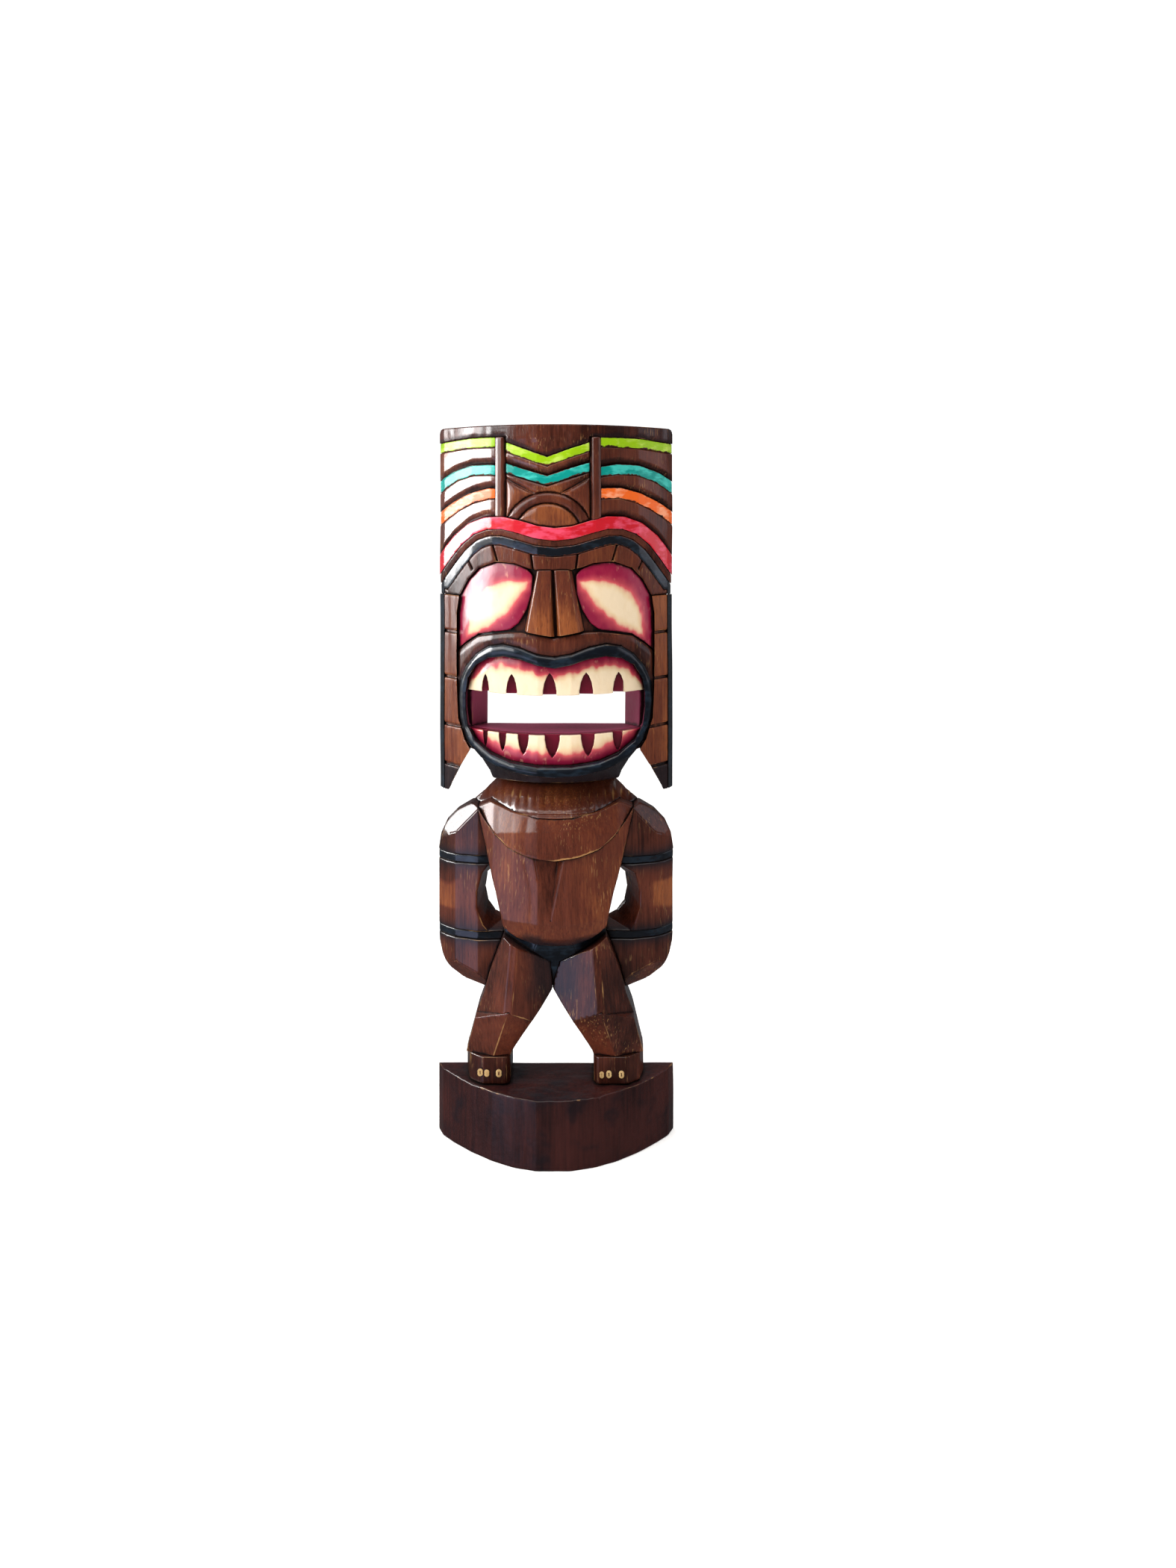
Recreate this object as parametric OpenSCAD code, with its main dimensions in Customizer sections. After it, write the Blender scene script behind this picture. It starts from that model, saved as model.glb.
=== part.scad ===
// Tiki figure carved from half a log: a square-crowned head with an open
// mouth over a short standing body, on a plinth of the same half log.
// The front follows the log in flat chisel facets and the back is flat.
// Outlines are drawn at the drawn_* sizes as [x, z]; depths run back from
// the front of the log. X, Y and Z turn them into places on the figure.

/* [Figure] */
// Overall height
figure_h = 400; // [300:5:500]
// Overall width
figure_w = 134; // [110:1:165]
// Front to back
figure_d = 44; // [36:1:54]
// Height of the plinth
plinth_h = 38; // [26:1:54]
// How far the log's front falls back at its side facets
front_fall = 36; // [32:0.5:39]
// Radius of the head's top corners
corner_r = 3; // [1:0.5:6]

/* [Crown] */
// Height of the plain rim along the top
rim_h = 6.5; // [4:0.5:9]
// Width of the green stripes
green_w = 5.6; // [2.5:0.1:7]
// Width of the teal stripes
teal_w = 5.8; // [2.5:0.1:7]
// Width of the orange stripes
orange_w = 6; // [2.5:0.1:7]
// Width of the green and teal chevrons
chevron_w = 5.2; // [2:0.1:6]
// Middle of the crown's motif, left of the figure's middle
motif_x = -3.5; // [-6:0.5:6]
// Clear width between the two posts
motif_w = 45; // [38:1:50]
// Width of each post
post_w = 6; // [3:0.5:8]
// Radius of the arch
arch_r = 24; // [18:0.5:27]
// Width of the arch
arch_w = 6; // [4:0.5:9]

/* [Brow] */
// Width of the red band
red_w = 6.8; // [4:0.2:8]
// Width of the bare bevel between the red and black bands
bevel_w = 3.6; // [1.5:0.1:4.5]
// Width of the black band
black_w = 5.2; // [3:0.1:6]
// Width of the black edge down each flap
edge_w = 3.5; // [2:0.5:6]
// Width of the V cuts across the brow and flaps
notch_w = 1.6; // [0.8:0.1:2.4]

/* [Mouth] */
// Height of the open mouth
mouth_h = 21.5; // [14:0.5:23]
// Half width of the open mouth at the back
mouth_back = 38.5; // [30:0.5:44]
// Width of the widest gaps between the teeth
tooth_gap_w = 7.4; // [3:0.2:9]
// Depth of the gaps between the teeth
tooth_gap_d = 3; // [1:0.5:5]

/* [Relief] */
// Depth of the head's ground behind the log surface
ground = 8; // [7:0.25:10]
// Depth of the mouth's ground
mouth_ground = 14; // [12:0.5:17]
// How far the crown's courses lie back
course_back = 0.9; // [0.3:0.1:2]
// How far the painted stripes lie back
stripe_back = 1.6; // [0.5:0.1:3]
// How far the red band lies back
red_back = 1; // [0.3:0.1:2]
// How far the bare bevel lies back
bevel_back = 1.9; // [1:0.1:3]
// How far the black band lies back
black_back = 2.7; // [1:0.1:4]
// How far the notched brow lies back
brow_back = 3.2; // [1:0.1:5]
// How far the eyes lie back
eye_back = 4.6; // [3:0.1:6]
// How far the cheeks lie back
cheek_back = 3.2; // [2:0.1:5]
// How far the lip ring lies back
lip_back = 2.2; // [1:0.1:4]
// How far the teeth lie back
tooth_back = 7.5; // [5:0.25:10]
// How far the flaps lie back
flap_back = 1.4; // [0.5:0.1:3]

/* [Body] */
// Middle of the gap between the legs, left of the figure's middle
crotch_x = -1.5; // [-3:0.5:3]
// Depth of the neck's waist behind the log surface
neck_back = 18; // [12:0.5:22]
// Depth of the belly behind the log surface
belly_back = 4.5; // [2:0.5:8]
// Depth of the hollow under the chest
hollow_d = 6; // [2:0.5:8]
// How far the chest stands over the belly
yoke_step = 1.6; // [0.5:0.1:3]
// Depth of the arms' front facets
arm_back = 27.5; // [22:0.5:32]
// Width of the painted bands round the arms
arm_band_w = 4.6; // [3:0.2:7]
// Depth of the feet's front faces
foot_back = 17.5; // [10:0.5:24]
// Height of the feet
foot_h = 15; // [10:0.5:20]
// How far the toenails stand out
nail_out = 0.5; // [0.2:0.1:1]

/* [Hidden] */

// sizes that the outlines are drawn at
drawn_w = 134;
drawn_h = 400;
drawn_d = 44;
drawn_plinth = 38;
reach = 600;

function X(x) = x * figure_w / drawn_w;
function Y(depth) = (depth / drawn_d - 0.5) * figure_d;
function Z(z) = z <= drawn_plinth
    ? z * plinth_h / drawn_plinth
    : plinth_h + (z - drawn_plinth) * (figure_h - plinth_h) / (drawn_h - drawn_plinth);
function place(p) = [X(p[0]), Y(p[1]), Z(p[2])];
function outline(points) = [for (p = points) [X(p[0]), Z(p[1])]];

// lists read the other way round, and mirrored to the other side
function back(list) = [for (i = [len(list) - 1 : -1 : 0]) list[i]];
function flip(list) = [for (p = list) [-p[0], p[1]]];
function sided(side, list) = [for (p = list) [side * p[0], p[1]]];
function both(half) = concat(back(flip(half)), [for (p = half) if (p[0] > 0) p]);

// a curve moved w down, square to itself
function slope(c, i) = let(a = c[max(i - 1, 0)], b = c[min(i + 1, len(c) - 1)])
    [b[0] - a[0], b[1] - a[1]];
function lower(c, w) = [for (i = [0 : len(c) - 1]) let(t = slope(c, i))
    [c[i][0] + w * t[1] / norm(t), c[i][1] - w * t[0] / norm(t)]];
// the same curve moved w straight down
function drop(c, w) = [for (p = c) [p[0], p[1] - w]];
// x where a line that runs downwards reaches z
function x_at(c, z) = let(k = [for (i = [0 : len(c) - 2]) if (z >= c[i + 1][1]) i][0],
    a = c[k], b = c[k + 1]) a[0] + (b[0] - a[0]) * (z - a[1]) / (b[1] - a[1]);
// the stretch of such a line between two heights
function stretch(c, top, low) = concat([[x_at(c, top), top]],
    [for (p = c) if (p[1] < top && p[1] > low) p], [[x_at(c, low), low]]);

// ---------- the log ----------

facets = [9, 22, 34, 46, 56, 63.5];
facet_end = facets[len(facets) - 1];
function fall(x) = front_fall * (x * x - facets[0] * facets[0])
    / (facet_end * facet_end - facets[0] * facets[0]);
log_half = concat([for (x = facets) [x, fall(x)]], [[drawn_w / 2, drawn_d]]);

// the log seen from above, its front moved back, open behind
module log_face(depth) {
    far = 3 * figure_d;
    front = [for (p = concat(back(flip(log_half)), log_half))
        [X(p[0]), Y(p[1]) - Y(0) + depth * figure_d / drawn_d]];
    polygon(concat(front, [[X(drawn_w / 2), far], [-X(drawn_w / 2), far]]));
}

module block() {
    translate([-figure_w / 2, -figure_d / 2, 0])
        cube([figure_w, figure_d, figure_h]);
}

module log(depth) {
    intersection() {
        block();
        translate([0, Y(0), 0])
            linear_extrude(figure_h)
                log_face(depth);
    }
}

// the log leaned over about a line on its front: a positive tilt takes
// the part below the line back, a negative one the part above it
module leaned_log(depth, z, tilt) {
    translate([0, Y(depth), Z(z)])
        rotate([tilt, 0, 0])
            translate([0, 0, -reach])
                linear_extrude(2 * reach)
                    log_face(0);
}

// a front outline cut right through the block
module cut_out(points) {
    translate([0, figure_d / 2, 0])
        rotate([90, 0, 0])
            linear_extrude(figure_d)
                polygon(outline(points));
}

// the skin of the log between two depths
module skin(depth, floor_depth) {
    intersection() {
        block();
        translate([0, Y(0), 0])
            linear_extrude(figure_h)
                difference() {
                    log_face(depth);
                    log_face(floor_depth);
                }
    }
}

module relief(points, depth, floor_depth = ground) {
    intersection() {
        cut_out(points);
        skin(depth, floor_depth);
    }
}

// what a flat chisel cut through three [x, depth, z] points takes off
module flat(a, b, c) {
    p = place(a);
    n0 = cross(place(b) - p, place(c) - p);
    n = n0[1] < 0 ? n0 / norm(n0) : -n0 / norm(n0);
    translate(p)
        rotate([0, acos(n[2]), atan2(n[1], n[0])])
            translate([-reach / 2, -reach / 2, 0])
                cube([reach, reach, reach]);
}

// the same cut on the left or the right side
module side_flat(side, a, b, c) {
    flat([side * a[0], a[1], a[2]], [side * b[0], b[1], b[2]], [side * c[0], c[1], c[2]]);
}

// a V cut between two [x, z] points, its foot at a depth behind the log
module v_cut(a, b, w, depth) {
    ends = a[0] < b[0] ? [a, b] : [b, a];
    foot = [for (p = ends) place([p[0], log_depth(p[0]) + depth, p[1]])];
    run = foot[1] - foot[0];
    mouth = -1.6 * w - 2;
    translate(foot[0])
        rotate([0, acos(run[2] / norm(run)), atan2(run[1], run[0])])
            linear_extrude(norm(run))
                polygon([[0, 0], [w, mouth], [-w, mouth]]);
}

// depth of the log's front at x
function log_depth(x) = max(0, fall(min(abs(x), facet_end)));

// ---------- shared outlines, right half ----------

// top of the red band, from the middle outwards
red_top = [[0, 344.3], [9, 345.3], [18, 347.9], [28, 350.3], [38, 350.1],
    [48, 346.6], [57, 339.6], [64, 331.2], [74, 318]];
red_low = lower(red_top, red_w);
black_top = lower(red_low, bevel_w);
black_low = lower(black_top, black_w);
flap_top = 306;
edge_x = drawn_w / 2 - edge_w;

// edge of the face inside the brow and the flaps
face_edge = [[0, 321.8], [9.5, 321.8], [14.4, 322.8], [21.5, 325.2], [32, 325.8],
    [42.3, 322], [48.5, 315.5], [53.8, flap_top], [55.4, 296], [55.4, 275],
    [55.2, 256], [54.4, 238], [50.5, 226.5], [47, 221.5]];

lip_out = [[0, 274.5], [9.5, 276], [19, 279.5], [28, 281], [36, 279.5], [43, 275],
    [49.5, 267.5], [53.6, 258], [54.6, 248], [53.6, 237], [49, 225.5], [41, 218],
    [30, 213.4], [15, 210.6], [0, 209.6]];
lip_in = [[0, 268.4], [9, 270], [18.5, 273], [28, 274.3], [36.5, 272.8], [43.5, 268.5],
    [48.5, 260.5], [50, 252], [50, 243], [48.8, 234], [44, 226.5], [35, 220.5],
    [24, 217], [9.5, 215.4], [0, 215.3]];
// the lip's inner edge from its highest point down
lip_side = [for (i = [3 : len(lip_in) - 1]) lip_in[i]];
mouth_floor = 232;
mouth_top = mouth_floor + mouth_h;

// body lines, from the top down
chest_top = [[0, 185.7], [10, 186.2], [24, 188.4], [36, 192]];
chest_corner = [43.5, 188];
yoke = [[0, 164.2], [14, 166], [25, 169.5], [32.5, 175], [39, 182], chest_corner];
torso_side = [[38.5, 168], [36.8, 160.5], [35.5, 155.5], [34.4, 151]];
gap_inner = [[32.5, 145], [29.6, 133], [28.2, 126]];
gap_outer = [[39, 147], [40.2, 139], [38.6, 131], [34.5, 125.5], [28.3, 122]];
belly_low = [[20, 120], [10, 117], [0, 116.3]];
hip_low = [[28.4, 119], [22, 115.5], [12, 110.5], [2.5, 105]];
thigh_side = [[29.6, 116], [32, 110], [36, 99], [39.5, 86]];
thigh_line = concat([hip_low[0]], thigh_side);
crotch = [0, 90.5];
leg_inside = [[6, 81.5], [10.9, 75]];
shin_inside = [[15.7, 67], [19.8, 60], [22, 56]];
knee = [25, 81.5];
knee_side = [43.6, 75];
foot_top = drawn_plinth + foot_h;
band_top = 160.5;
wrist_top = 118.4;
arm_x = 66.7;

// leg outlines turn about the middle of the gap between the legs
function leg_sided(side, list) = [for (p = list) [side * p[0] + crotch_x, p[1]]];

// ---------- body ----------

wood = "#6b4028";
dark_wood = "#3b2326";
black_paint = "#2b3540";

module plinth() {
    color(dark_wood)
        intersection() {
            log(0);
            cut_out([[-70, 0], [70, 0], [70, drawn_plinth], [-70, drawn_plinth]]);
        }
}

module foot(side) {
    inner = side * 23 + crotch_x;
    outer = side * 47;
    color(wood)
        translate([0, 0, Z(drawn_plinth)])
            linear_extrude(Z(foot_top) - Z(drawn_plinth))
                polygon([
                    [X(inner), figure_d / 2],
                    [X(inner), Y(foot_back + 3)],
                    [X(inner + side * 2), Y(foot_back)],
                    [X(outer - side * 7), Y(foot_back)],
                    [X(outer), Y(foot_back + 5.5)],
                    [X(side * 49.5), Y(34)],
                    [X(side * 49.5), figure_d / 2]
                ]);
}

// three nails on the foot's front face, as [x, z, half width, half height]
nail_lift = 6.2;
left_nails = [[-41, 0.4, 1.6], [-37.4, 0, 1.5], [-30.8, 0, 1.7]];
right_nails = [[25.8, -0.8, 1.4], [29.8, -0.5, 1.6], [36.8, -0.6, 1.6]];

module nails(list) {
    color("#d9b77a")
        for (n = list)
            translate([X(n[0]), Y(foot_back), Z(drawn_plinth) + nail_lift + n[1]])
                rotate([90, 0, 0])
                    linear_extrude(nail_out)
                        union() {
                            translate([0, 0.6])
                                circle(r = n[2], $fn = 32);
                            translate([0, -0.6])
                                circle(r = n[2], $fn = 32);
                        }
}

module shin(side) {
    inner = leg_sided(side, concat([leg_inside[1]], shin_inside, [[23, foot_top]]));
    outer = sided(side, [[49.2, foot_top], knee_side, knee]);
    color(wood)
        difference() {
            cut_out(concat(inner, outer));
            side_flat(side, [knee[0], 7.5, knee[1]], [34, 18, foot_top], [22, 20.5, foot_top]);
            side_flat(side, [knee[0], 7.5, knee[1]], [34, 18, foot_top], [49.2, 24.5, foot_top]);
        }
}

module thigh(side) {
    top = sided(side, back(hip_low));
    outer = sided(side, concat(thigh_side, [knee_side]));
    inner = leg_sided(side, concat(back(leg_inside), [crotch]));
    color(wood)
        difference() {
            cut_out(concat(top, outer, sided(side, [knee]), inner));
            side_flat(side, [22, 11, 116], [knee[0], 7, knee[1]], [0, 20, 100]);
            side_flat(side, [23, 11, 116], [knee[0] + 0.6, 7, knee[1]], [41, 24, 86]);
            side_flat(side, [20.5, 11.8, 116], [knee[0] - 1.6, 8, knee[1]], [24.5, 12.4, 116]);
        }
}

module hips() {
    low = concat(sided(-1, hip_low), [[crotch_x, crotch[1]]], back(hip_low));
    side = [[28.2, 126]];
    color(black_paint)
        difference() {
            cut_out(concat(
                flip(side), low, side, belly_low, back(flip([belly_low[0], belly_low[1]]))
            ));
            flat([-20, 15, 118], [20, 15, 118], [0, 20, 98]);
            side_flat(1, [8, 14.5, 116], [28, 24, 122], [10, 16, 106]);
            side_flat(-1, [8, 14.5, 116], [28, 24, 122], [10, 16, 106]);
        }
}

// carved hollow under the chest: a broad slope on the left and a steep wall
// on the right that meet in a line, drawn in to a point
module breastbone_cut() {
    lean = 2.8;
    tip = place([-2.3, belly_back - 0.3, 131]);
    deep = place([2.4, belly_back + lean + hollow_d, 168]);
    left = deep + 3 * (place([-13.5, belly_back + lean, 168]) - deep);
    right = deep + 3 * (place([5.6, belly_back + lean, 168]) - deep);
    polyhedron(
        points = [left, right, tip, deep],
        faces = [[0, 1, 2], [0, 3, 1], [1, 3, 2], [2, 3, 0]]
    );
}

module belly() {
    side = concat(torso_side, gap_inner);
    low = concat(belly_low, back(flip([belly_low[0], belly_low[1]])));
    color(wood)
        difference() {
            intersection() {
                cut_out(concat(both(yoke), side, low, back(flip(side))));
                log(belly_back);
                leaned_log(belly_back, 132, -4.5);
                leaned_log(belly_back + 0.4, 129, 16);
                leaned_log(belly_back + 1.6, 123, 38);
            }
            breastbone_cut();
        }
}

module chest() {
    top = both(concat(chest_top, [chest_corner]));
    low = [for (p = both(yoke)) if (abs(p[0]) < chest_corner[0]) p];
    stand = belly_back + 2.4 - yoke_step;
    color("#7a4a2c")
        intersection() {
            cut_out(concat(top, back(low)));
            leaned_log(stand, 166, -9);
            leaned_log(stand + 1.6, 178, -24);
        }
}

module neck() {
    low = both(concat(chest_top, [chest_corner, [47, 189.5]]));
    waist = [[40.5, 195], [36.6, 199.5], [35.4, 203.5]];
    jaw = [[37, 208], [41, 214.5], [46.6, 221.2]];
    rise = [for (p = lip_out) if (p[1] < 219) p];
    split = waist[2][1];
    color(wood) {
        intersection() {
            cut_out(concat(low, waist, back(flip(waist))));
            leaned_log(neck_back, split, -26);
            leaned_log(neck_back - 5.5, 189, -52);
        }
        intersection() {
            cut_out(concat(
                flip([waist[2]]), [waist[2]], jaw, rise, back(flip(rise)), back(flip(jaw))
            ));
            leaned_log(neck_back, split, 34);
        }
    }
}

// arm seen from above, on one side
module arm_profile(side) {
    linear_extrude(figure_h)
        polygon([
            [X(side * 20), figure_d / 2],
            [X(side * 20), Y(arm_back + 1.5)],
            [X(side * 43), Y(arm_back)],
            [X(side * 56), Y(arm_back + 3.5)],
            [X(side * 61.5), Y(arm_back + 7.5)],
            [X(side * arm_x), Y(arm_back + 13.5)],
            [X(side * arm_x), figure_d / 2]
        ]);
}

module arm_piece(side, points) {
    intersection() {
        cut_out(sided(side, points));
        arm_profile(side);
    }
}

module upper_arm(side) {
    shoulder = [[47, 189.5], [55.5, 184.5], [61.8, 178], [65.2, 170.5], [arm_x, 162],
        [arm_x, band_top]];
    inner = [[x_at(torso_side, band_top), band_top], torso_side[0], chest_corner];
    color(wood)
        difference() {
            arm_piece(side, concat(shoulder, inner));
            side_flat(side, [46, 32, 189.5], [61, 40, 179], [48, 27.6, 180]);
            side_flat(side, [58, 31.5, 172], [66, 39, 165], [61.5, 38, 178.5]);
        }
}

module arm_band(side) {
    low = band_top - arm_band_w;
    color(black_paint)
        difference() {
            arm_piece(side, concat(
                [[arm_x, low], [arm_x, band_top]], stretch(torso_side, band_top, low)
            ));
            arm_groove(side);
        }
}

// shallow step that sets a painted band below the arm's facets
module arm_groove(side) {
    difference() {
        translate([X(side * 52) - figure_w / 4, Y(0), Z(80)])
            cube([figure_w / 2, figure_d, Z(180) - Z(80)]);
        translate([0, 0.9, 0])
            arm_profile(side);
    }
}

// scooped side of the gap between arm and body, wider at the front
module scoop(side, front_x) {
    inner_x = 20;
    behind = concat([[inner_x, 151], torso_side[3]], gap_outer, [[inner_x, 122]]);
    before = [[inner_x, 154], [38, 155], [front_x - 3, 151], [front_x, 140], [front_x, 131],
        [front_x - 3.5, 122], [front_x - 6, 119], [inner_x, 119]];
    hull() {
        translate([0, figure_d / 2, 0])
            rotate([90, 0, 0])
                linear_extrude(6)
                    polygon(outline(sided(side, behind)));
        translate([0, Y(arm_back), 0])
            rotate([90, 0, 0])
                linear_extrude(6)
                    polygon(outline(sided(side, before)));
    }
}

module forearm(side, scoop_x) {
    top = band_top - arm_band_w;
    inner = concat(stretch(torso_side, top, 151), gap_outer, stretch(thigh_line, 119, wrist_top));
    color(wood)
        difference() {
            arm_piece(side, concat([[arm_x, wrist_top], [arm_x, top]], inner));
            scoop(side, scoop_x);
        }
}

module wrist_band(side) {
    low = wrist_top - arm_band_w;
    color(black_paint)
        difference() {
            arm_piece(side, concat(
                [[arm_x, low], [arm_x, wrist_top]], stretch(thigh_line, wrist_top, low)
            ));
            arm_groove(side);
        }
}

module hand(side) {
    top = wrist_top - arm_band_w;
    edge = [[arm_x, top], [66.4, 109], [64.5, 102], [60, 94.5], [52, 88.6]];
    color(wood)
        difference() {
            arm_piece(side, concat(edge, back(stretch(thigh_line, top, thigh_side[3][1]))));
            side_flat(side, [40, 31, 88], [58, 37, 94], [46, 27.6, 97]);
        }
}

// ---------- head ----------

module head_core() {
    face = [for (p = face_edge) if (p[1] <= flap_top) p];
    chin = [for (p = lip_out) if (p[1] < 219) p];
    side = concat([[drawn_w / 2, flap_top]], face, chin);
    color(wood)
        difference() {
            intersection() {
                cut_out(concat(
                    side, back(flip(side)), [[-drawn_w / 2, drawn_h], [drawn_w / 2, drawn_h]]
                ));
                log(ground);
                rounded_top();
            }
            intersection() {
                cut_out(concat(lip_in, back(flip(lip_in))));
                translate([0, Y(0) - 1, 0])
                    in_front_of(mouth_ground);
            }
            mouth_tunnel();
        }
}

// everything in front of a depth behind the log surface
module in_front_of(depth) {
    difference() {
        translate([-figure_w, 0, 0])
            cube([2 * figure_w, 2 * figure_d, figure_h]);
        translate([0, 1, 0])
            linear_extrude(figure_h)
                log_face(depth);
    }
}

// the open mouth, drawn in towards the back
module mouth_tunnel() {
    wide = lip_in[7][0];
    deep = log_depth(wide) + tooth_back;
    translate([0, 0, Z(mouth_floor)])
        linear_extrude(Z(mouth_top) - Z(mouth_floor))
            polygon([
                [-X(wide), Y(-1)],
                [X(wide), Y(-1)],
                [X(wide), Y(deep)],
                [X(mouth_back), Y(drawn_d + 1)],
                [-X(mouth_back), Y(drawn_d + 1)],
                [-X(wide), Y(deep)]
            ]);
}

module rounded_top() {
    wide = figure_w / 2 - corner_r;
    translate([0, figure_d / 2, 0])
        rotate([90, 0, 0])
            linear_extrude(figure_d)
                union() {
                    translate([-figure_w / 2, 0])
                        square([figure_w, figure_h - corner_r]);
                    translate([-wide, 0])
                        square([2 * wide, figure_h]);
                    for (x = [-wide, wide])
                        translate([x, figure_h - corner_r])
                            circle(r = corner_r, $fn = 48);
                }
}

// crown lines, right half, measured from the middle of the motif
rim_low = drawn_h - rim_h;
out_x = 74;
teal_top = [[24, 377], [34, 378.8], [46, 378.7], [57, 375.6], [64, 371.8], [out_x, 365]];
orange_top = [[24, 365.6], [36, 366], [47, 363.4], [57, 358.8], [64, 354.4], [out_x, 347]];
post_in = motif_w / 2;
post_out = post_in + post_w;

// side panel of the crown, from a post's outer edge outwards
function panel_x(side) = side * post_out + motif_x;
function line_at(c, x) = let(k = [for (i = [0 : len(c) - 2]) if (x <= c[i + 1][0]) i][0],
    a = c[k], b = c[k + 1]) a[1] + (b[1] - a[1]) * (x - a[0]) / (b[0] - a[0]);
function from_post(side, c) = let(x = abs(panel_x(side)))
    concat([[x, line_at(c, x)]], [for (p = c) if (p[0] > x + 0.5) p]);

green_line = [[20, rim_low], [46, rim_low], [out_x, rim_low - 2.5]];

module panel_piece(side, upper, under, depth) {
    top = from_post(side, upper);
    low = from_post(side, under);
    intersection() {
        relief(sided(side, concat(top, back(low))), depth);
        rounded_top();
    }
}

module green_stripe(side) {
    color("#a5c72f")
        panel_piece(side, green_line, drop(green_line, green_w), stripe_back);
}

module teal_stripe(side) {
    color("#0c9a8c")
        panel_piece(side, teal_top, lower(teal_top, teal_w), stripe_back);
}

module orange_stripe(side) {
    color("#ee7a3f")
        panel_piece(side, orange_top, lower(orange_top, orange_w), stripe_back);
}

module upper_course(side) {
    color(wood)
        panel_piece(side, drop(green_line, green_w), teal_top, course_back);
}

module middle_course(side) {
    color(wood)
        panel_piece(side, lower(teal_top, teal_w), orange_top, course_back);
}

module lower_course(side) {
    color(wood)
        panel_piece(side, lower(orange_top, orange_w), red_top, course_back);
}

// lines across the motif, between the posts
green_v = [[-post_in, 390.6], [0, 382.6], [post_in, 390.6]];
teal_v = [[-post_in, 379.4], [0, 372.4], [post_in, 379.4]];
base_v = [[-post_in - 1, 372], [-7, 363], [7, 363], [post_in + 1, 372]];
arch_top = 363.6;

function in_motif(c) = [for (p = c) [p[0] + motif_x, p[1]]];
// the red line between two x
function red_between(a, b) = concat([[a, red_at(a)]],
    [for (p = both(red_top)) if (p[0] > a && p[0] < b) p], [[b, red_at(b)]]);
function red_at(x) = line_at(red_top, abs(x));

module post(side) {
    a = side * post_in + motif_x;
    b = side * post_out + motif_x;
    left = min(a, b);
    right = max(a, b);
    color("#7a4a2c")
        relief(
            concat([[left, rim_low], [right, rim_low]], back(red_between(left, right))),
            course_back - 0.3
        );
}

module crown_rim() {
    x = drawn_w / 2;
    apron = in_motif([[post_in, rim_low], green_v[2], green_v[1], green_v[0], [-post_in, rim_low]]);
    low = concat(back([green_line[1], green_line[2]]), apron, flip([green_line[1], green_line[2]]));
    color("#5d3a2a")
        intersection() {
            relief(concat([[-x - 5, drawn_h], [x + 5, drawn_h]], low), course_back - 0.5);
            rounded_top();
        }
}

module green_chevron() {
    color("#a5c72f")
        relief(in_motif(concat(green_v, back(drop(green_v, chevron_w)))), stripe_back);
}

module teal_chevron() {
    color("#0c9a8c")
        relief(in_motif(concat(teal_v, back(drop(teal_v, chevron_w)))), stripe_back);
}

module chevron_course() {
    color(wood)
        relief(in_motif(concat(drop(green_v, chevron_w), back(teal_v))), course_back);
}

module arch_circle(shrink) {
    translate([0, figure_d / 2, 0])
        rotate([90, 0, 0])
            linear_extrude(figure_d)
                translate([X(motif_x), Z(arch_top) - arch_r])
                    circle(r = arch_r - shrink, $fn = 96);
}

// the ground between the teal chevron, the posts and the arch, with a line
// cut along the foot of its upper course
module chevron_base() {
    left = motif_x - post_in;
    right = motif_x + post_in;
    line = in_motif(base_v);
    color(wood)
        difference() {
            relief(
                concat(in_motif(drop(teal_v, chevron_w)), back(red_between(left, right))),
                course_back
            );
            arch_circle(0);
            for (i = [0, 2])
                v_cut(line[i], line[i + 1], notch_w / 2, course_back + 1.5);
        }
}

module arch() {
    left = motif_x - post_in;
    right = motif_x + post_in;
    color("#7a4a2c")
        difference() {
            intersection() {
                relief(
                    concat([[left, drawn_h], [right, drawn_h]], back(red_between(left, right))),
                    course_back
                );
                arch_circle(0);
            }
            arch_circle(arch_w);
        }
}

module arch_lens() {
    left = motif_x - post_in;
    right = motif_x + post_in;
    color("#965f2d")
        intersection() {
            relief(
                concat([[left, drawn_h], [right, drawn_h]], back(red_between(left, right))),
                course_back
            );
            arch_circle(arch_w);
        }
}

module red_band() {
    color("#d6303f")
        relief(concat(both(red_top), back(both(red_low))), red_back);
}

module brow_bevel() {
    color(wood)
        relief(concat(both(red_low), back(both(black_top))), bevel_back);
}

// the black band and the corners where it turns down the flaps
black_under = concat([for (p = black_low) if (p[0] < edge_x - 1) p],
    [[edge_x, flap_top + 3], [edge_x, flap_top]]);

module black_band() {
    side = concat(black_under, [[80, flap_top]]);
    color(black_paint)
        relief(concat(both(black_top), back(both(side))), black_back);
}

brow_notches = [[51, 333, 45, 321], [34.5, 340, 30.5, 326], [12.8, 334, 11.2, 321.5]];

module notched_brow() {
    edge = [for (p = face_edge) if (p[1] >= flap_top) p];
    under = concat(edge, [[edge_x, flap_top]]);
    color(wood)
        difference() {
            relief(concat(both(black_under), back(both(under))), brow_back);
            for (side = [-1, 1])
                for (n = brow_notches)
                    v_cut([side * n[0], n[1]], [side * n[2], n[3]], notch_w, brow_back + 2.4);
        }
}

flap_tip = [[53.4, 210.5], [59.4, 199], [60.4, 196.4], [edge_x, 196]];
flap_notches = [285.5, 260, 233.2, 211];

// a level cut that follows the log round
module saw_cut(z, depth) {
    intersection() {
        skin(0, depth + notch_w);
        translate([-figure_w, -figure_d, Z(z) - notch_w / 2])
            cube([2 * figure_w, 2 * figure_d, notch_w]);
    }
}

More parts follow.
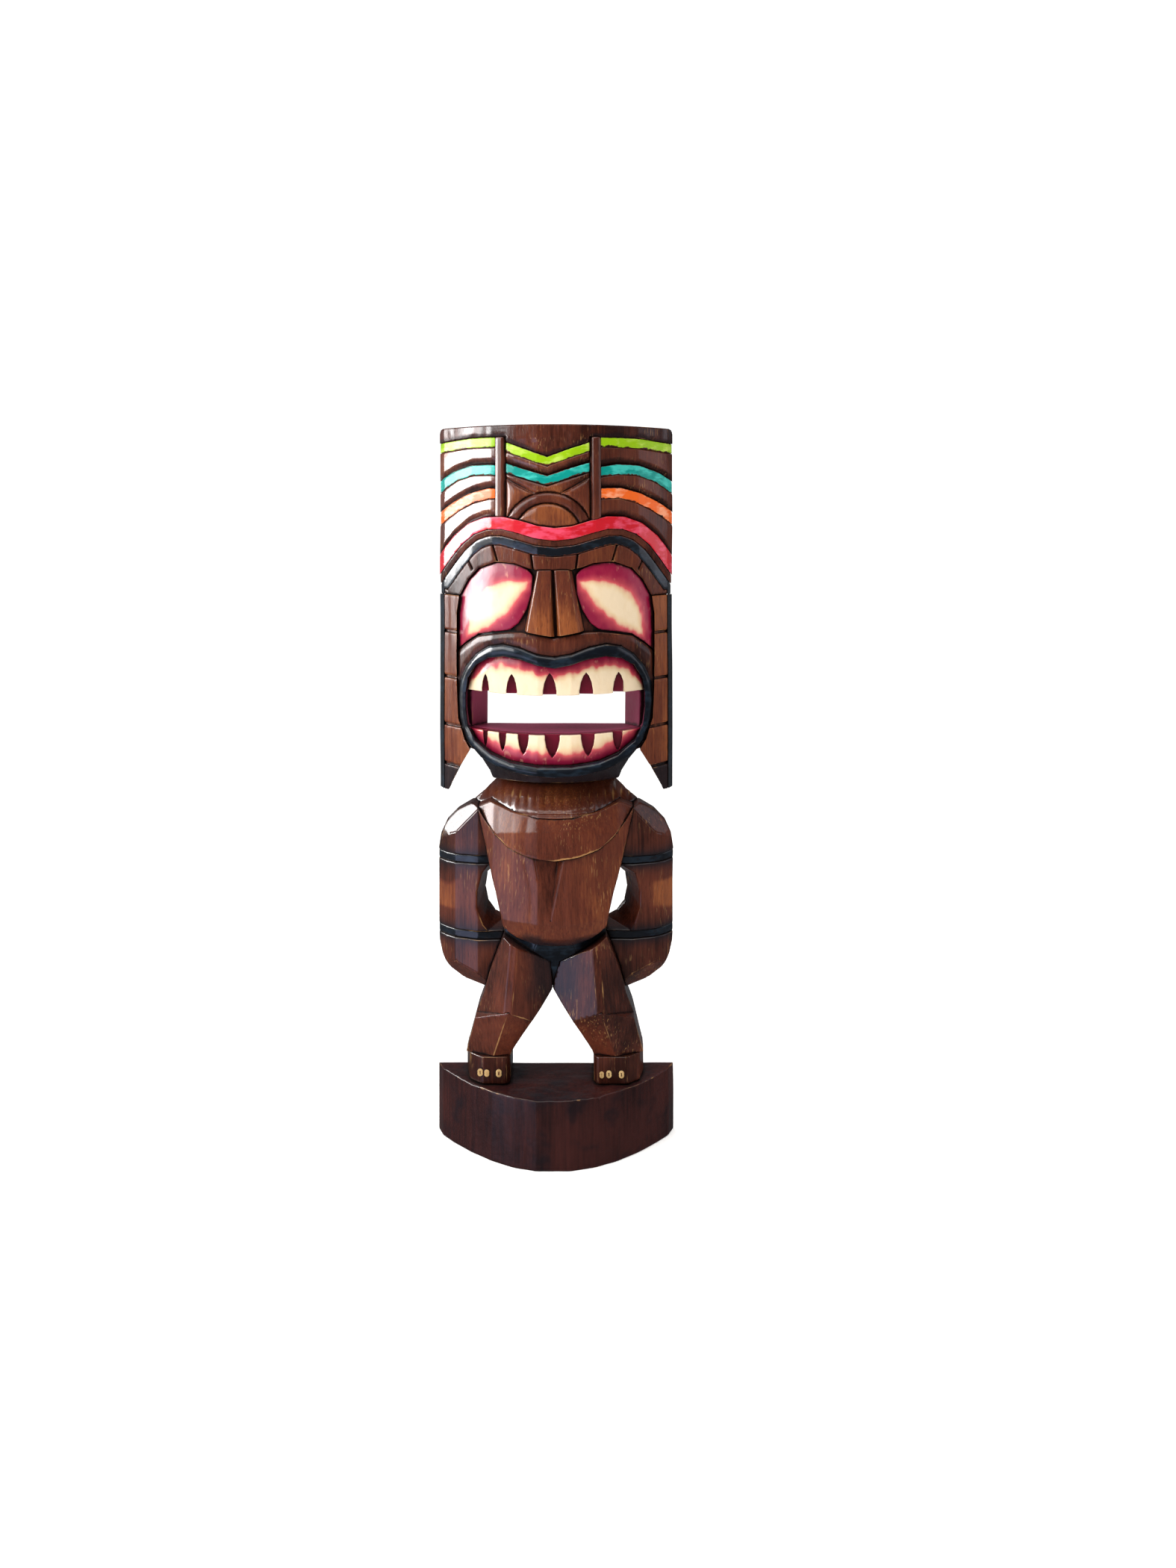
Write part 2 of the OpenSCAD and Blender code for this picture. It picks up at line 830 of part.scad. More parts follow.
module flap(side) {
    inner = [for (p = face_edge) if (p[1] <= flap_top) p];
    color(wood)
        difference() {
            intersection() {
                cut_out(sided(side, concat(inner, flap_tip, [[edge_x, flap_top]])));
                log(flap_back);
            }
            for (z = flap_notches)
                saw_cut(z, flap_back);
        }
}

module flap_edge(side) {
    color(black_paint)
        intersection() {
            cut_out(sided(side, [[edge_x, 196], [70, 195.8], [70, flap_top], [edge_x, flap_top]]));
            log(flap_back - 0.4);
        }
}

eye_inner = [[14.6, 322.2], [11.8, 318.7], [11.9, 309], [14.8, 300], [19.3, 292.6], [24.4, 288.6]];
eye_low = [[33, 287.4], [42.3, 285.6], [49.6, 280.6], [55.2, 275.4]];

module eye(side) {
    outer = [for (p = face_edge) if (p[0] > 14.6 && p[1] > 275.4) p];
    color("#ecd9b5")
        relief(sided(side, concat(eye_inner, eye_low, back(outer))), eye_back);
}

nose_half = [[9.4, 321.6], [15.8, 288.4], [0, 285.6]];

module nose() {
    color("#7a4a2c")
        difference() {
            intersection() {
                relief(concat(back(flip([nose_half[0], nose_half[1]])), nose_half), 0);
                leaned_log(0.2, 288, -4.5);
            }
            side_flat(1, [8, 3.2, 321.6], [13, 0.6, 287], [15.8, 5.8, 288]);
            side_flat(-1, [9, 3.2, 321.6], [14.6, 0.8, 287], [15.8, 5.8, 288]);
            v_cut([-0.9, 323], [0.9, 284], 4, 5.2);
        }
}

cheek_top = [[0, 284.6], [9, 286.4], [16.4, 287.4], [24.4, 287.6], [33, 286.4], [42.3, 284.6],
    [49.6, 279.6], [55.3, 274.4]];

module cheeks() {
    edge = [for (p = face_edge) if (p[1] < 274.4) p];
    color(wood)
        difference() {
            relief(both(concat(cheek_top, edge)), cheek_back);
            cut_out(concat(lip_out, back(flip(lip_out))));
        }
}

module lip_ring() {
    color(black_paint)
        difference() {
            relief(concat(lip_out, back(flip(lip_out))), lip_back);
            cut_out(concat(lip_in, back(flip(lip_in))));
        }
}

// gaps between the teeth, as [x, share of the full width]
upper_gaps = [[-38.5, 0.55], [-23.5, 0.8], [-2.7, 1], [17.3, 1], [35.2, 0.85]];
lower_gaps = [[-38.5, 0.35], [-28.6, 0.55], [-17, 0.8], [-1.2, 1.1], [18.1, 1], [34.7, 0.75]];

// a gap that is flat at the biting edge and runs to a point
module tooth_gap(x, share, edge, up) {
    half = tooth_gap_w * share / 2;
    h = up * (7.5 + 4.5 * share);
    side = [[half, -up * 2], [half, h * 0.2], [half * 0.8, h * 0.55], [half * 0.42, h * 0.84]];
    translate([X(x), Y(log_depth(x) + tooth_back) + tooth_gap_d, Z(edge)])
        rotate([90, 0, 0])
            linear_extrude(figure_d)
                polygon(concat(side, [[0, h]], back(flip(side))));
}

module teeth_piece(points) {
    relief(points, tooth_back, mouth_ground);
}

module upper_teeth() {
    rim = [for (p = lip_in) if (p[1] > mouth_top) p];
    edge = x_at(lip_side, mouth_top);
    color("#ecd9b5")
        difference() {
            teeth_piece(concat(both(rim), [[edge, mouth_top], [-edge, mouth_top]]));
            for (g = upper_gaps)
                tooth_gap(g[0], g[1], mouth_top, 1);
        }
}

module lower_teeth() {
    rim = [for (p = lip_in) if (p[1] < mouth_floor) p];
    edge = x_at(lip_side, mouth_floor);
    color("#ecd9b5")
        difference() {
            teeth_piece(concat([[-edge, mouth_floor], [edge, mouth_floor]], rim, back(flip(rim))));
            for (g = lower_gaps)
                tooth_gap(g[0], g[1], mouth_floor, -1);
        }
}

plinth();
foot(-1);  // left_foot
foot(1);  // right_foot
nails(left_nails);  // left_toenails
nails(right_nails);  // right_toenails
shin(-1);  // left_shin
shin(1);  // right_shin
thigh(-1);  // left_thigh
thigh(1);  // right_thigh
hips();
belly();
chest();
neck();
upper_arm(-1);  // left_upper_arm
upper_arm(1);  // right_upper_arm
arm_band(-1);  // left_arm_band
arm_band(1);  // right_arm_band
forearm(-1, 44);  // left_forearm
forearm(1, 48);  // right_forearm
wrist_band(-1);  // left_wrist_band
wrist_band(1);  // right_wrist_band
hand(-1);  // left_hand
hand(1);  // right_hand
head_core();
crown_rim();
green_stripe(-1);  // left_green_stripe
green_stripe(1);  // right_green_stripe
teal_stripe(-1);  // left_teal_stripe
teal_stripe(1);  // right_teal_stripe
orange_stripe(-1);  // left_orange_stripe
orange_stripe(1);  // right_orange_stripe
upper_course(-1);  // left_upper_course
upper_course(1);  // right_upper_course
middle_course(-1);  // left_middle_course
middle_course(1);  // right_middle_course
lower_course(-1);  // left_lower_course
lower_course(1);  // right_lower_course
post(-1);  // left_post
post(1);  // right_post
green_chevron();
teal_chevron();
chevron_course();
chevron_base();
arch();
arch_lens();
red_band();
brow_bevel();
black_band();
notched_brow();
flap(-1);  // left_flap
flap(1);  // right_flap
flap_edge(-1);  // left_flap_edge
flap_edge(1);  // right_flap_edge
eye(-1);  // left_eye
eye(1);  // right_eye
nose();
cheeks();
lip_ring();
upper_teeth();
lower_teeth();
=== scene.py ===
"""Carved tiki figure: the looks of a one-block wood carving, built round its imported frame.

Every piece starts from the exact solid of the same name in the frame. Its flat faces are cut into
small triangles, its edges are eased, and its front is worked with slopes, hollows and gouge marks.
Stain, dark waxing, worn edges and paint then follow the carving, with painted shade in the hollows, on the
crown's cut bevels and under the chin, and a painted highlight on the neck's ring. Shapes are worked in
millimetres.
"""

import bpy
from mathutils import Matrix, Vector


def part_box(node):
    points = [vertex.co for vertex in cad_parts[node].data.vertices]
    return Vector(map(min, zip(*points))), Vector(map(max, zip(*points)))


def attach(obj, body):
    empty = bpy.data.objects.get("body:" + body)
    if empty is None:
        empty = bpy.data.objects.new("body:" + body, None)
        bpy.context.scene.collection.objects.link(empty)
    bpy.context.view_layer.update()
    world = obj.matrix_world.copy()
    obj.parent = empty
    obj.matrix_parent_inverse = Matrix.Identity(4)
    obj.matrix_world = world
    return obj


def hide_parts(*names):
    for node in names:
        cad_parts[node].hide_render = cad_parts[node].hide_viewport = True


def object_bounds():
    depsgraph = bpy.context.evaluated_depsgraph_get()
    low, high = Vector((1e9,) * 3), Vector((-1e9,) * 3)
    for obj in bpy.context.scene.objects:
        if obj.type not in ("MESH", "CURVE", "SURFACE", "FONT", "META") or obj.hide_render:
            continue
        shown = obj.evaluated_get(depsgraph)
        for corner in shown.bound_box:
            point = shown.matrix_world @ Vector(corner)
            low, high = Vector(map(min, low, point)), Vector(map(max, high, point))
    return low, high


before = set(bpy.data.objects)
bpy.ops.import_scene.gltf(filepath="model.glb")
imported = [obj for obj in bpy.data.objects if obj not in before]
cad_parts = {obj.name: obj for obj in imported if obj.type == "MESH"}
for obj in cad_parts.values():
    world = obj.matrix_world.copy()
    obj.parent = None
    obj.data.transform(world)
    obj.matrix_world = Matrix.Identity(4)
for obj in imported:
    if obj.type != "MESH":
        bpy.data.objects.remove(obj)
CAD_BOX = [[float(v) for v in corner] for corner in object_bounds()]

import math

import bmesh
import bpy
import numpy as np
from mathutils import Vector
from mathutils.bvhtree import BVHTree
from mathutils.geometry import delaunay_2d_cdt
from mathutils.kdtree import KDTree

bl_info = {
    "name": "Carved Tiki Figure",
    "version": (1, 0, 0),
    "blender": (4, 5, 0),
    "location": "View3D > Sidebar > Tiki",
    "description": "Carves, stains and paints a tiki figure round its frame",
    "category": "Object",
}

MM = 1000.0
BACK_Y = CAD_BOX[1][1] * MM
HALF_W = CAD_BOX[1][0] * MM
HEIGHT = CAD_BOX[1][2] * MM


# ---------- sizes and colours ----------

def linear(hex_colour):
    """A web colour as the linear RGBA that shaders take."""
    parts = [int(hex_colour[i:i + 2], 16) / 255 for i in (1, 3, 5)]
    return tuple(c / 12.92 if c <= 0.04045 else ((c + 0.055) / 1.055) ** 2.4 for c in parts) + (1.0,)


def size(name, description, default, low, high):
    return bpy.props.FloatProperty(
        name=name, description=description, default=default, min=low, max=high)


def colour(name, description, default):
    return bpy.props.FloatVectorProperty(
        name=name, description=description, default=linear(default), size=4, min=0, max=1,
        subtype="COLOR")


class TikiShape(bpy.types.PropertyGroup):
    """Sizes of the carving, in millimetres."""

    step: size("Mesh step", "Spacing of points on the carved front, in mm", 0.95, 0.5, 3)
    easing: size("Edge easing", "Radius worn onto sharp edges, in mm", 0.75, 0.1, 2)
    wobble: size("Hand wobble", "How far hand-cut lines wander, in mm", 0.32, 0, 1)
    gouge: size("Gouge depth", "Depth of the gouge marks, in mm", 0.22, 0, 1)
    course_cut: size("Course cut", "Depth cut under each course of the crown, in mm", 2.2, 0, 4)
    course_cut_w: size("Course cut width", "Height of that sloping cut, in mm", 3.6, 1, 8)
    eye_dome: size("Eye dome", "How far the eyes swell, in mm", 1.7, 0, 3)
    tooth_swell: size("Tooth swell", "How far the teeth swell, in mm", 1.3, 0, 3)


class TikiFinish(bpy.types.PropertyGroup):
    """Stains, waxes and paints, with colours also laid as painted shade and painted highlight."""

    stain_dark: colour("Dark stain", "Stain where it lies thick", "#2a0f08")
    stain_mid: colour("Stain", "Stain over most of the wood", "#5b2a1b")
    stain_warm: colour("Warm stain", "Stain where it is rubbed thin", "#8a4c28")
    # Light wood of worn edges and chips; also the colour of the painted highlight on the neck's ring.
    golden: colour("Rubbed wood", "Wood that shows through on worn edges", "#b98a55")
    # Dark colour of the hollows: dark waxing in the grooves, and painted shade wherever the carving shuts a
    # point in.
    wax: colour("Dark wax", "Wax left in the grooves", "#160a08")
    # Smoky black: thin black stain round the bands and the hips, also laid as painted shade under the chin
    # and along the crown rim's lower edge.
    smoke: colour("Smoky black", "Thin black stain round the bands", "#10141a")
    maroon: colour("Maroon", "Paint between the teeth", "#6a1028")
    mouth: colour("Mouth", "Thin paint on the walls of the mouth", "#96405c")
    green: colour("Green", "Green paint", "#8fb808")
    teal: colour("Teal", "Teal paint", "#008a80")
    orange: colour("Orange", "Orange paint", "#e8641c")
    red: colour("Red", "Red paint", "#c40c20")
    black: colour("Black", "Blue-black paint", "#060c15")
    cream: colour("Cream", "Paint of the eyes and teeth", "#e6caa0")
    pink: colour("Pink", "Blend between cream and crimson", "#cf5258")
    crimson: colour("Crimson", "Rims of the eyes and gums", "#8c1238")
    nail: colour("Nail", "Bare wood of the toenails", "#e2c48c")


class TikiStage(bpy.types.PropertyGroup):
    """Camera, light and floor."""

    eye: bpy.props.FloatVectorProperty(
        name="Camera place", description="Where the camera stands", default=(0.0182, -0.642, 0.355),
        subtype="TRANSLATION", unit="LENGTH")
    lens: bpy.props.FloatProperty(
        name="Lens", description="Focal length, in mm", default=26.62, min=10, max=100)
    look_down: bpy.props.FloatProperty(
        name="Shift", description="Vertical shift of the view", default=-0.176, min=-1, max=1)
    window: bpy.props.FloatProperty(
        name="Window", description="Power of the soft light on the left", default=9,
        min=0, unit="POWER")
    sky: bpy.props.FloatProperty(
        name="Room light", description="Strength of the even light of the room", default=0.26, min=0)
    sheen: bpy.props.FloatProperty(
        name="Room sheen", description="How bright the room looks in the varnish", default=0.15, min=0)
    pane: bpy.props.FloatProperty(
        name="Pane", description="Power of the pane that shines in the left side of the varnish",
        default=16, min=0, unit="POWER")
    low_pane: bpy.props.FloatProperty(
        name="Low pane", description="Power of the pane that tints the varnish of the body's left facets",
        default=2.2, min=0, unit="POWER")
    floor: colour("Floor", "Colour of the floor", "#fbf9f7")


# ---------- noise ----------

LATTICE = np.random.default_rng(31).random((32, 32, 32)) * 2 - 1


def noise(points, cell, seed=0):
    """Smooth noise from -1 to 1 at points in mm, with features about one cell apart."""
    cells = points / np.asarray(cell, float) + seed * 7.31
    base = np.floor(cells).astype(int)
    part = cells - base
    part = part * part * (3 - 2 * part)
    total = np.zeros(len(points))
    for corner in np.ndindex(2, 2, 2):
        weight = np.prod(np.where(corner, part, 1 - part), axis=1)
        i, j, k = ((base + corner) % 32).T
        total += weight * LATTICE[i, j, k]
    return total


def ease(low, high, value):
    """0 below low, 1 above high and smooth between them."""
    t = np.clip((value - low) / (high - low), 0, 1)
    return t * t * (3 - 2 * t)


def gouges(points, width, seed=0):
    """Side by side hollows that run up and down: 0 on their ridges and 1 at their middles."""
    wander = noise(points, (40, 40, 25), seed) * 0.5 * width
    run = (points[:, 0] + wander) / width + seed * 0.37
    part = run - np.floor(run)
    return 1 - (2 * part - 1) ** 2


# ---------- mesh ----------

SHARP = math.radians(24)
FOLDS = (22, 34, 46, 56)
FOLD_TURN = 0.22
FRONT, WALL, REAR, HIDDEN = range(4)


class Piece:
    """One carved piece, in millimetres: its points, triangles and what the tools left on it."""

    def __init__(self, node, step, easing):
        self.node = node
        self.step = step
        self.easing = easing
        self.points = []
        self.triangles = []
        self.sides = []
        self.kinds = []
        self.sharp_points = []
        self._cut()
        self.co = np.array(self.points)
        self.tris = np.array(self.triangles)
        kinds = np.array(self.kinds)
        self.front = (kinds & (1 << FRONT)) > 0
        self.rear = (kinds & (1 << REAR)) > 0
        self.edge = self._edge_distance()
        self._ease_edges()
        self.x, self.y, self.z = self.co.T

    def _cut(self):
        """Cuts each flat face of the solid into triangles that meet along its edges."""
        solid = bmesh.new()
        solid.from_mesh(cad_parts[self.node].data)
        bmesh.ops.remove_doubles(solid, verts=solid.verts, dist=2e-6)
        bmesh.ops.dissolve_limit(
            solid, angle_limit=math.radians(0.3), use_dissolve_boundaries=False,
            verts=solid.verts, edges=solid.edges, delimit=set())
        solid.normal_update()
        solid.verts.index_update()
        for v in solid.verts:
            self._add(v.co * MM)
        chains = {}
        for e in solid.edges:
            a, b = sorted(e.verts, key=lambda v: v.index)
            parts = max(1, round(e.calc_length() * MM / self.step))
            start, end = a.co * MM, b.co * MM
            between = [self._add(start.lerp(end, i / parts)) for i in range(1, parts)]
            chain = [a.index] + between + [b.index]
            bend = e.calc_face_angle_signed(0.0)
            chains[e.index] = (chain, bend)
            if bend > SHARP:
                self.sharp_points += [self.points[i] for i in chain]
        for f in solid.faces:
            self._face(f, chains)
        solid.free()

    def _add(self, point):
        self.points.append(tuple(point))
        self.sides.append([])
        self.kinds.append(0)
        return len(self.points) - 1

    def _kind(self, f):
        if f.normal.y < -0.25:
            return FRONT
        if f.normal.y < 0.25:
            return WALL
        at_back = abs(f.calc_center_median().y * MM - BACK_Y) < 0.2
        return REAR if at_back else HIDDEN

    def _face(self, f, chains):
        kind = self._kind(f)
        normal = f.normal.copy()
        origin = f.verts[0].co * MM
        across = max((e.verts[1].co - e.verts[0].co for e in f.edges), key=lambda v: v.length)
        across.normalize()
        up = normal.cross(across)
        loop, rings = [], []
        for corner in f.loops:
            chain, bend = chains[corner.edge.index]
            if chain[0] != corner.vert.index:
                chain = chain[::-1]
            loop += chain[:-1]
            if abs(bend) > SHARP and kind != HIDDEN:
                ends = [Vector(self.points[i]) for i in (chain[0], chain[-1])]
                inside = normal.cross((ends[1] - ends[0]).normalized())
                for ring in (0.35, 1.0):
                    rings += [Vector(self.points[i]) + inside * self.easing * ring for i in chain[1:-1]]

        def flat(p):
            away = Vector(p) - origin
            return Vector((away.dot(across), away.dot(up)))

        border = [flat(self.points[i]) for i in loop]
        near = KDTree(len(border))
        for i, p in enumerate(border):
            near.insert((p.x, p.y, 0), i)
        near.balance()
        inner, taken = [], set()
        for p in map(flat, rings):
            key = (round(p.x / 0.3), round(p.y / 0.3))
            if key not in taken and near.find((p.x, p.y, 0))[2] > 0.25 * self.easing:
                taken.add(key)
                inner.append(p)
        spacing = {FRONT: 1.0, WALL: 1.5, REAR: 3.0, HIDDEN: 0}[kind] * self.step
        if spacing:
            ringed = KDTree(len(border) + len(inner))
            for i, p in enumerate(border + inner):
                ringed.insert((p.x, p.y, 0), i)
            ringed.balance()
            low = Vector((min(p.x for p in border), min(p.y for p in border)))
            high = Vector((max(p.x for p in border), max(p.y for p in border)))
            row_h = spacing * 0.87
            for r in range(1, int((high.y - low.y) / row_h) + 1):
                for c in range(int((high.x - low.x) / spacing) + 1):
                    p = Vector((low.x + (c + 0.5 * (r % 2)) * spacing, low.y + r * row_h))
                    if ringed.find((p.x, p.y, 0))[2] > 0.55 * spacing:
                        inner.append(p)
        count = len(border)
        edges = [(i, (i + 1) % count) for i in range(count)]
        places, _, faces, origins, _, _ = delaunay_2d_cdt(border + inner, edges, [], 1, 1e-5)
        index = {}
        for i, corners in enumerate(faces):
            for k in corners:
                if k in index:
                    continue
                source = min(origins[k]) if origins[k] else count
                if source < count:
                    index[k] = loop[source]
                else:
                    p = places[k]
                    index[k] = self._add(origin + across * p.x + up * p.y)
            self.triangles.append([index[k] for k in corners])
        for i in index.values():
            self.kinds[i] |= 1 << kind
            if all(side.dot(normal) < 0.95 for side in self.sides[i]):
                self.sides[i].append(normal)

    def _edge_distance(self):
        """How far each point lies from the nearest sharp edge."""
        if not self.sharp_points:
            return np.full(len(self.co), 99.0)
        tree = KDTree(len(self.sharp_points))
        for i, p in enumerate(self.sharp_points):
            tree.insert(p, i)
        tree.balance()
        return np.array([tree.find(p)[2] for p in self.co])

    def _ease_edges(self):
        """Rounds the sharp edges over."""
        near = np.clip(1 - self.edge / self.easing, 0, 1) ** 2
        outward = np.array([sum(sides, Vector()) for sides in self.sides])
        self.co = self.co - outward * (0.29 * self.easing * near)[:, None]

    def share_down(self):
        """0 along the top outline and 1 along the lower one, on banded pieces."""
        down, up = self.span()
        return down / np.maximum(down + up, 0.1)

    def span(self):
        """Distances down from the top outline and up from the lower one, on banded pieces."""
        bins = np.floor((self.x + HALF_W + 1) / 1.2).astype(int)
        top = np.full(bins.max() + 1, -1e9)
        low = np.full(bins.max() + 1, 1e9)
        np.maximum.at(top, bins[self.front], self.z[self.front])
        np.minimum.at(low, bins[self.front], self.z[self.front])
        used = np.flatnonzero(top > -1e8)
        middles = used * 1.2 - HALF_W - 1 + 0.6
        down = np.interp(self.x, middles, top[used]) - self.z
        up = self.z - np.interp(self.x, middles, low[used])
        return np.maximum(down, 0), np.maximum(up, 0)

    def round_off(self, reach=6.0):
        """Depth that rounds off the upright folds between the log's facets."""
        folds = [np.clip(1 - abs(abs(self.x) - x) / reach, 0, 1) ** 2 for x in FOLDS]
        return sum(folds) * FOLD_TURN * reach / 4

    def press(self, depth, reach=6.0):
        """Moves the front back by depth, and the walls behind it by less and less."""
        room = np.clip((BACK_Y - self.y) / 5, 0, 1)
        depth = np.where(depth > 0, depth * room, depth)
        moved = np.where(self.front, depth, 0.0)
        tree = KDTree(int(self.front.sum()))
        places = np.flatnonzero(self.front)
        for i in places:
            tree.insert(self.co[i], int(i))
        tree.balance()
        for i in np.flatnonzero(~self.front):
            _, k, away = tree.find(self.co[i])
            if away < reach:
                moved[i] = depth[k] * (1 - away / reach)
        self.y += moved

    def wander(self, amount):
        """The small drift of hand-cut lines, the same for pieces that touch."""
        at = self.co.copy()
        still = ease(0, 12, at[:, 2])
        self.x += amount * noise(at, (26, 26, 30), 1)
        self.z += amount * still * noise(at, (24, 30, 26), 2) * ease(0, 8, HEIGHT - at[:, 2])
        free = ~self.rear
        self.y += np.where(free, amount * noise(at, (22, 60, 24), 3), 0) * ease(0, 3, BACK_Y - at[:, 1])

    def finish(self, name, material, layers):
        """Turns the piece into an object whose points carry their layers of finish."""
        mesh = bpy.data.meshes.new(name)
        mesh.from_pydata((self.co / MM).tolist(), [], self.tris.tolist())
        mesh.validate()
        for label, values in layers.items():
            layer = mesh.attributes.new(label, "FLOAT", "POINT")
            layer.data.foreach_set("value", np.asarray(values, np.float32))
        mesh.shade_smooth()
        mesh.materials.append(material)
        thing = bpy.data.objects.new(name, mesh)
        bpy.context.scene.collection.objects.link(thing)
        return thing


# ---------- shader maths ----------

class Socket:
    """A shader socket that takes part in sums, so that shader maths reads as maths."""

    def __init__(self, recipe, socket):
        self.recipe = recipe
        self.socket = socket

    def _sum(self, operation, first, second):
        kind = "ShaderNodeMath"
        if self.socket.type in ("VECTOR", "RGBA"):
            kind = "ShaderNodeVectorMath"
        return self.recipe.node(kind, {"operation": operation}, {0: first, 1: second})

    def __add__(self, other):
        return self._sum("ADD", self, other)

    def __radd__(self, other):
        return self._sum("ADD", other, self)

    def __sub__(self, other):
        return self._sum("SUBTRACT", self, other)

    def __rsub__(self, other):
        return self._sum("SUBTRACT", other, self)

    def __mul__(self, other):
        return self._sum("MULTIPLY", self, other)

    def __rmul__(self, other):
        return self._sum("MULTIPLY", other, self)

    def __pow__(self, other):
        return self._sum("POWER", self, other)


class Recipe:
    """One material and the nodes that make it."""

    def __init__(self, name):
        self.material = bpy.data.materials.new(name)
        self.material.use_nodes = True
        self.tree = self.material.node_tree
        self.tree.nodes.clear()
        self.place = self.node("ShaderNodeTexCoord", out="Object")

    def node(self, kind, settings=None, values=None, out=0):
        """Adds a node: its settings first, then the values or links of its sockets."""
        made = self.tree.nodes.new(kind)
        for key, value in (settings or {}).items():
            if key == "stops":
                self._stops(made.color_ramp, value)
            else:
                setattr(made, key, value)
        for key, value in (values or {}).items():
            if isinstance(value, Socket):
                self.tree.links.new(value.socket, made.inputs[key])
            else:
                made.inputs[key].default_value = value
        return Socket(self, made.outputs[out])

    def _stops(self, ramp, stops):
        while len(ramp.elements) < len(stops):
            ramp.elements.new(0.5)
        for element, (place, value) in zip(ramp.elements, stops):
            element.position = place
            element.color = value

    def layer(self, name):
        """A number that the carving left at each point."""
        return self.node("ShaderNodeAttribute", {"attribute_name": name}, out="Fac")

    def noise(self, per_mm, stretch=(1, 1, 1), detail=3.0, seed=0.0):
        """Noise from 0 to 1, with so many features to the mm, stretched along the grain."""
        at = self.place * tuple(per_mm * MM * s for s in stretch) + (seed, seed, seed)
        return self.node("ShaderNodeTexNoise", {}, {"Vector": at, "Scale": 1.0, "Detail": detail})

    def range(self, value, low, high, to_low=0.0, to_high=1.0):
        """A value carried from one range to another, and held inside it."""
        return self.node("ShaderNodeMapRange", {"interpolation_type": "SMOOTHSTEP"}, {
            "Value": value, "From Min": low, "From Max": high, "To Min": to_low, "To Max": to_high})

    def mix(self, below, above, share):
        """One colour laid over another."""
        return self.node("ShaderNodeMix", {"data_type": "RGBA"}, {0: share, 6: below, 7: above}, out=2)

    def surface(self, base, roughness, height, specular=0.12, shine=0.18):
        """The varnished surface that ends every recipe."""
        normal = self.node("ShaderNodeBump", {}, {"Strength": 1.0, "Distance": 1.0, "Height": height})
        skin = self.node("ShaderNodeBsdfPrincipled", {}, {
            "Base Color": base, "Roughness": roughness, "Normal": normal, "IOR": 1.5,
            "Coat Weight": self.layer("gloss"), "Coat Roughness": shine,
            "Specular IOR Level": specular})
        self.node_end(skin)
        return self.material

    def node_end(self, shader):
        end = self.tree.nodes.new("ShaderNodeOutputMaterial")
        self.tree.links.new(shader.socket, end.inputs["Surface"])


def bare_wood(r, f):
    """Stained, worn and waxed wood, with painted shade and painted highlights carried by its layers: its
    colour and the height of its grain in metres.
    """
    cloud = r.noise(0.035, (1, 1, 0.5), 4.0)
    streak = r.noise(0.9, (1, 1, 0.045), 5.0, 3.0)
    pores = r.noise(2.4, (1, 1, 0.09), 2.0, 7.0)
    # The warmth layer also carries painted shade on the crown's cut bevels and a painted highlight on the
    # neck's ring.
    warm = r.layer("warm") + (cloud - 0.5) * 2.2
    base = r.mix(f.stain_dark, f.stain_mid, r.range(warm + (streak - 0.5) * 0.9, -0.4, 0.35))
    base = r.mix(base, f.stain_warm, r.range(warm + (streak - 0.5) * 1.1, 0.25, 1.1))
    base = r.mix(base, f.stain_dark, r.range(pores, 0.54, 0.7) * 0.4)
    scratch = r.range(r.noise(1.3, (1, 1, 0.11), 2.0, 13.0), 0.6, 0.68)
    base = r.mix(base, f.golden, scratch * r.range(r.noise(0.045, detail=3.0, seed=17.0), 0.46, 0.66) * 0.36)
    base = r.mix(base, f.smoke, r.range(r.layer("smoke") + (cloud - 0.5) * 0.5, 0.15, 0.95) * 0.93)
    return base, streak, pores


def weathered(r, f, base, worn=1.0):
    """Dark waxing and painted shade in the hollows, and light wood on worn edges and painted highlights,
    over any finish.
    """
    grit = r.noise(0.5, (1, 1, 0.4), 4.0, 11.0)
    wax = r.range(r.layer("wax") + (grit - 0.5) * 0.35, 0.06, 0.42)
    patch = r.noise(0.07, detail=5.0, seed=5.0)
    rub_and_highlight = r.range(r.layer("wear") + (patch - 0.5) * 2.6, 0.85, 1.5) * 0.8
    base = r.mix(base, f.golden, rub_and_highlight * worn)
    return r.mix(base, f.wax, wax * 0.93), wax


def stained_finish(name, f, worn=0.8, paint=None):
    """Wood, with any paint where the paint layer says."""
    r = Recipe(name)
    base, streak, pores = bare_wood(r, f)
    if paint is not None:
        base = r.mix(base, paint, r.range(r.layer("paint"), 0.35, 0.65))
    base, wax = weathered(r, f, base, worn)
    roughness = 0.34 + (streak - 0.5) * 0.12 + wax * 0.25
    height = streak * 0.00009 - r.range(pores, 0.55, 0.75) * 0.00005 + r.noise(0.16, detail=2.0) * 0.0002
    return r.surface(base, roughness, height)


def painted_finish(name, f, paint, shade):
    """Brushed paint over the wood, ragged where the layer thins."""
    r = Recipe(name)
    wood, streak, _ = bare_wood(r, f)
    brush = r.noise(0.55, (0.35, 0.35, 1), 4.0, 2.0)
    cover = r.range(r.layer("paint") + (r.noise(0.5, detail=4.0, seed=9.0) - 0.5) * 0.9, 0.3, 0.5)
    patch = r.noise(0.06, (1, 1, 1.6), 3.0, 8.0)
    # A lighter second tone in random patches; on the red band the pink patches are painted sheen.
    tone = r.mix(paint, shade, r.range(brush * 0.4 + patch * 0.6, 0.46, 0.6))
    base = r.mix(wood, tone, cover)
    base, wax = weathered(r, f, base, 0.35)
    height = brush * 0.00012 + r.noise(0.16, detail=2.0) * 0.0002 + cover * 0.00006
    return r.surface(base, 0.36 + wax * 0.25, height)


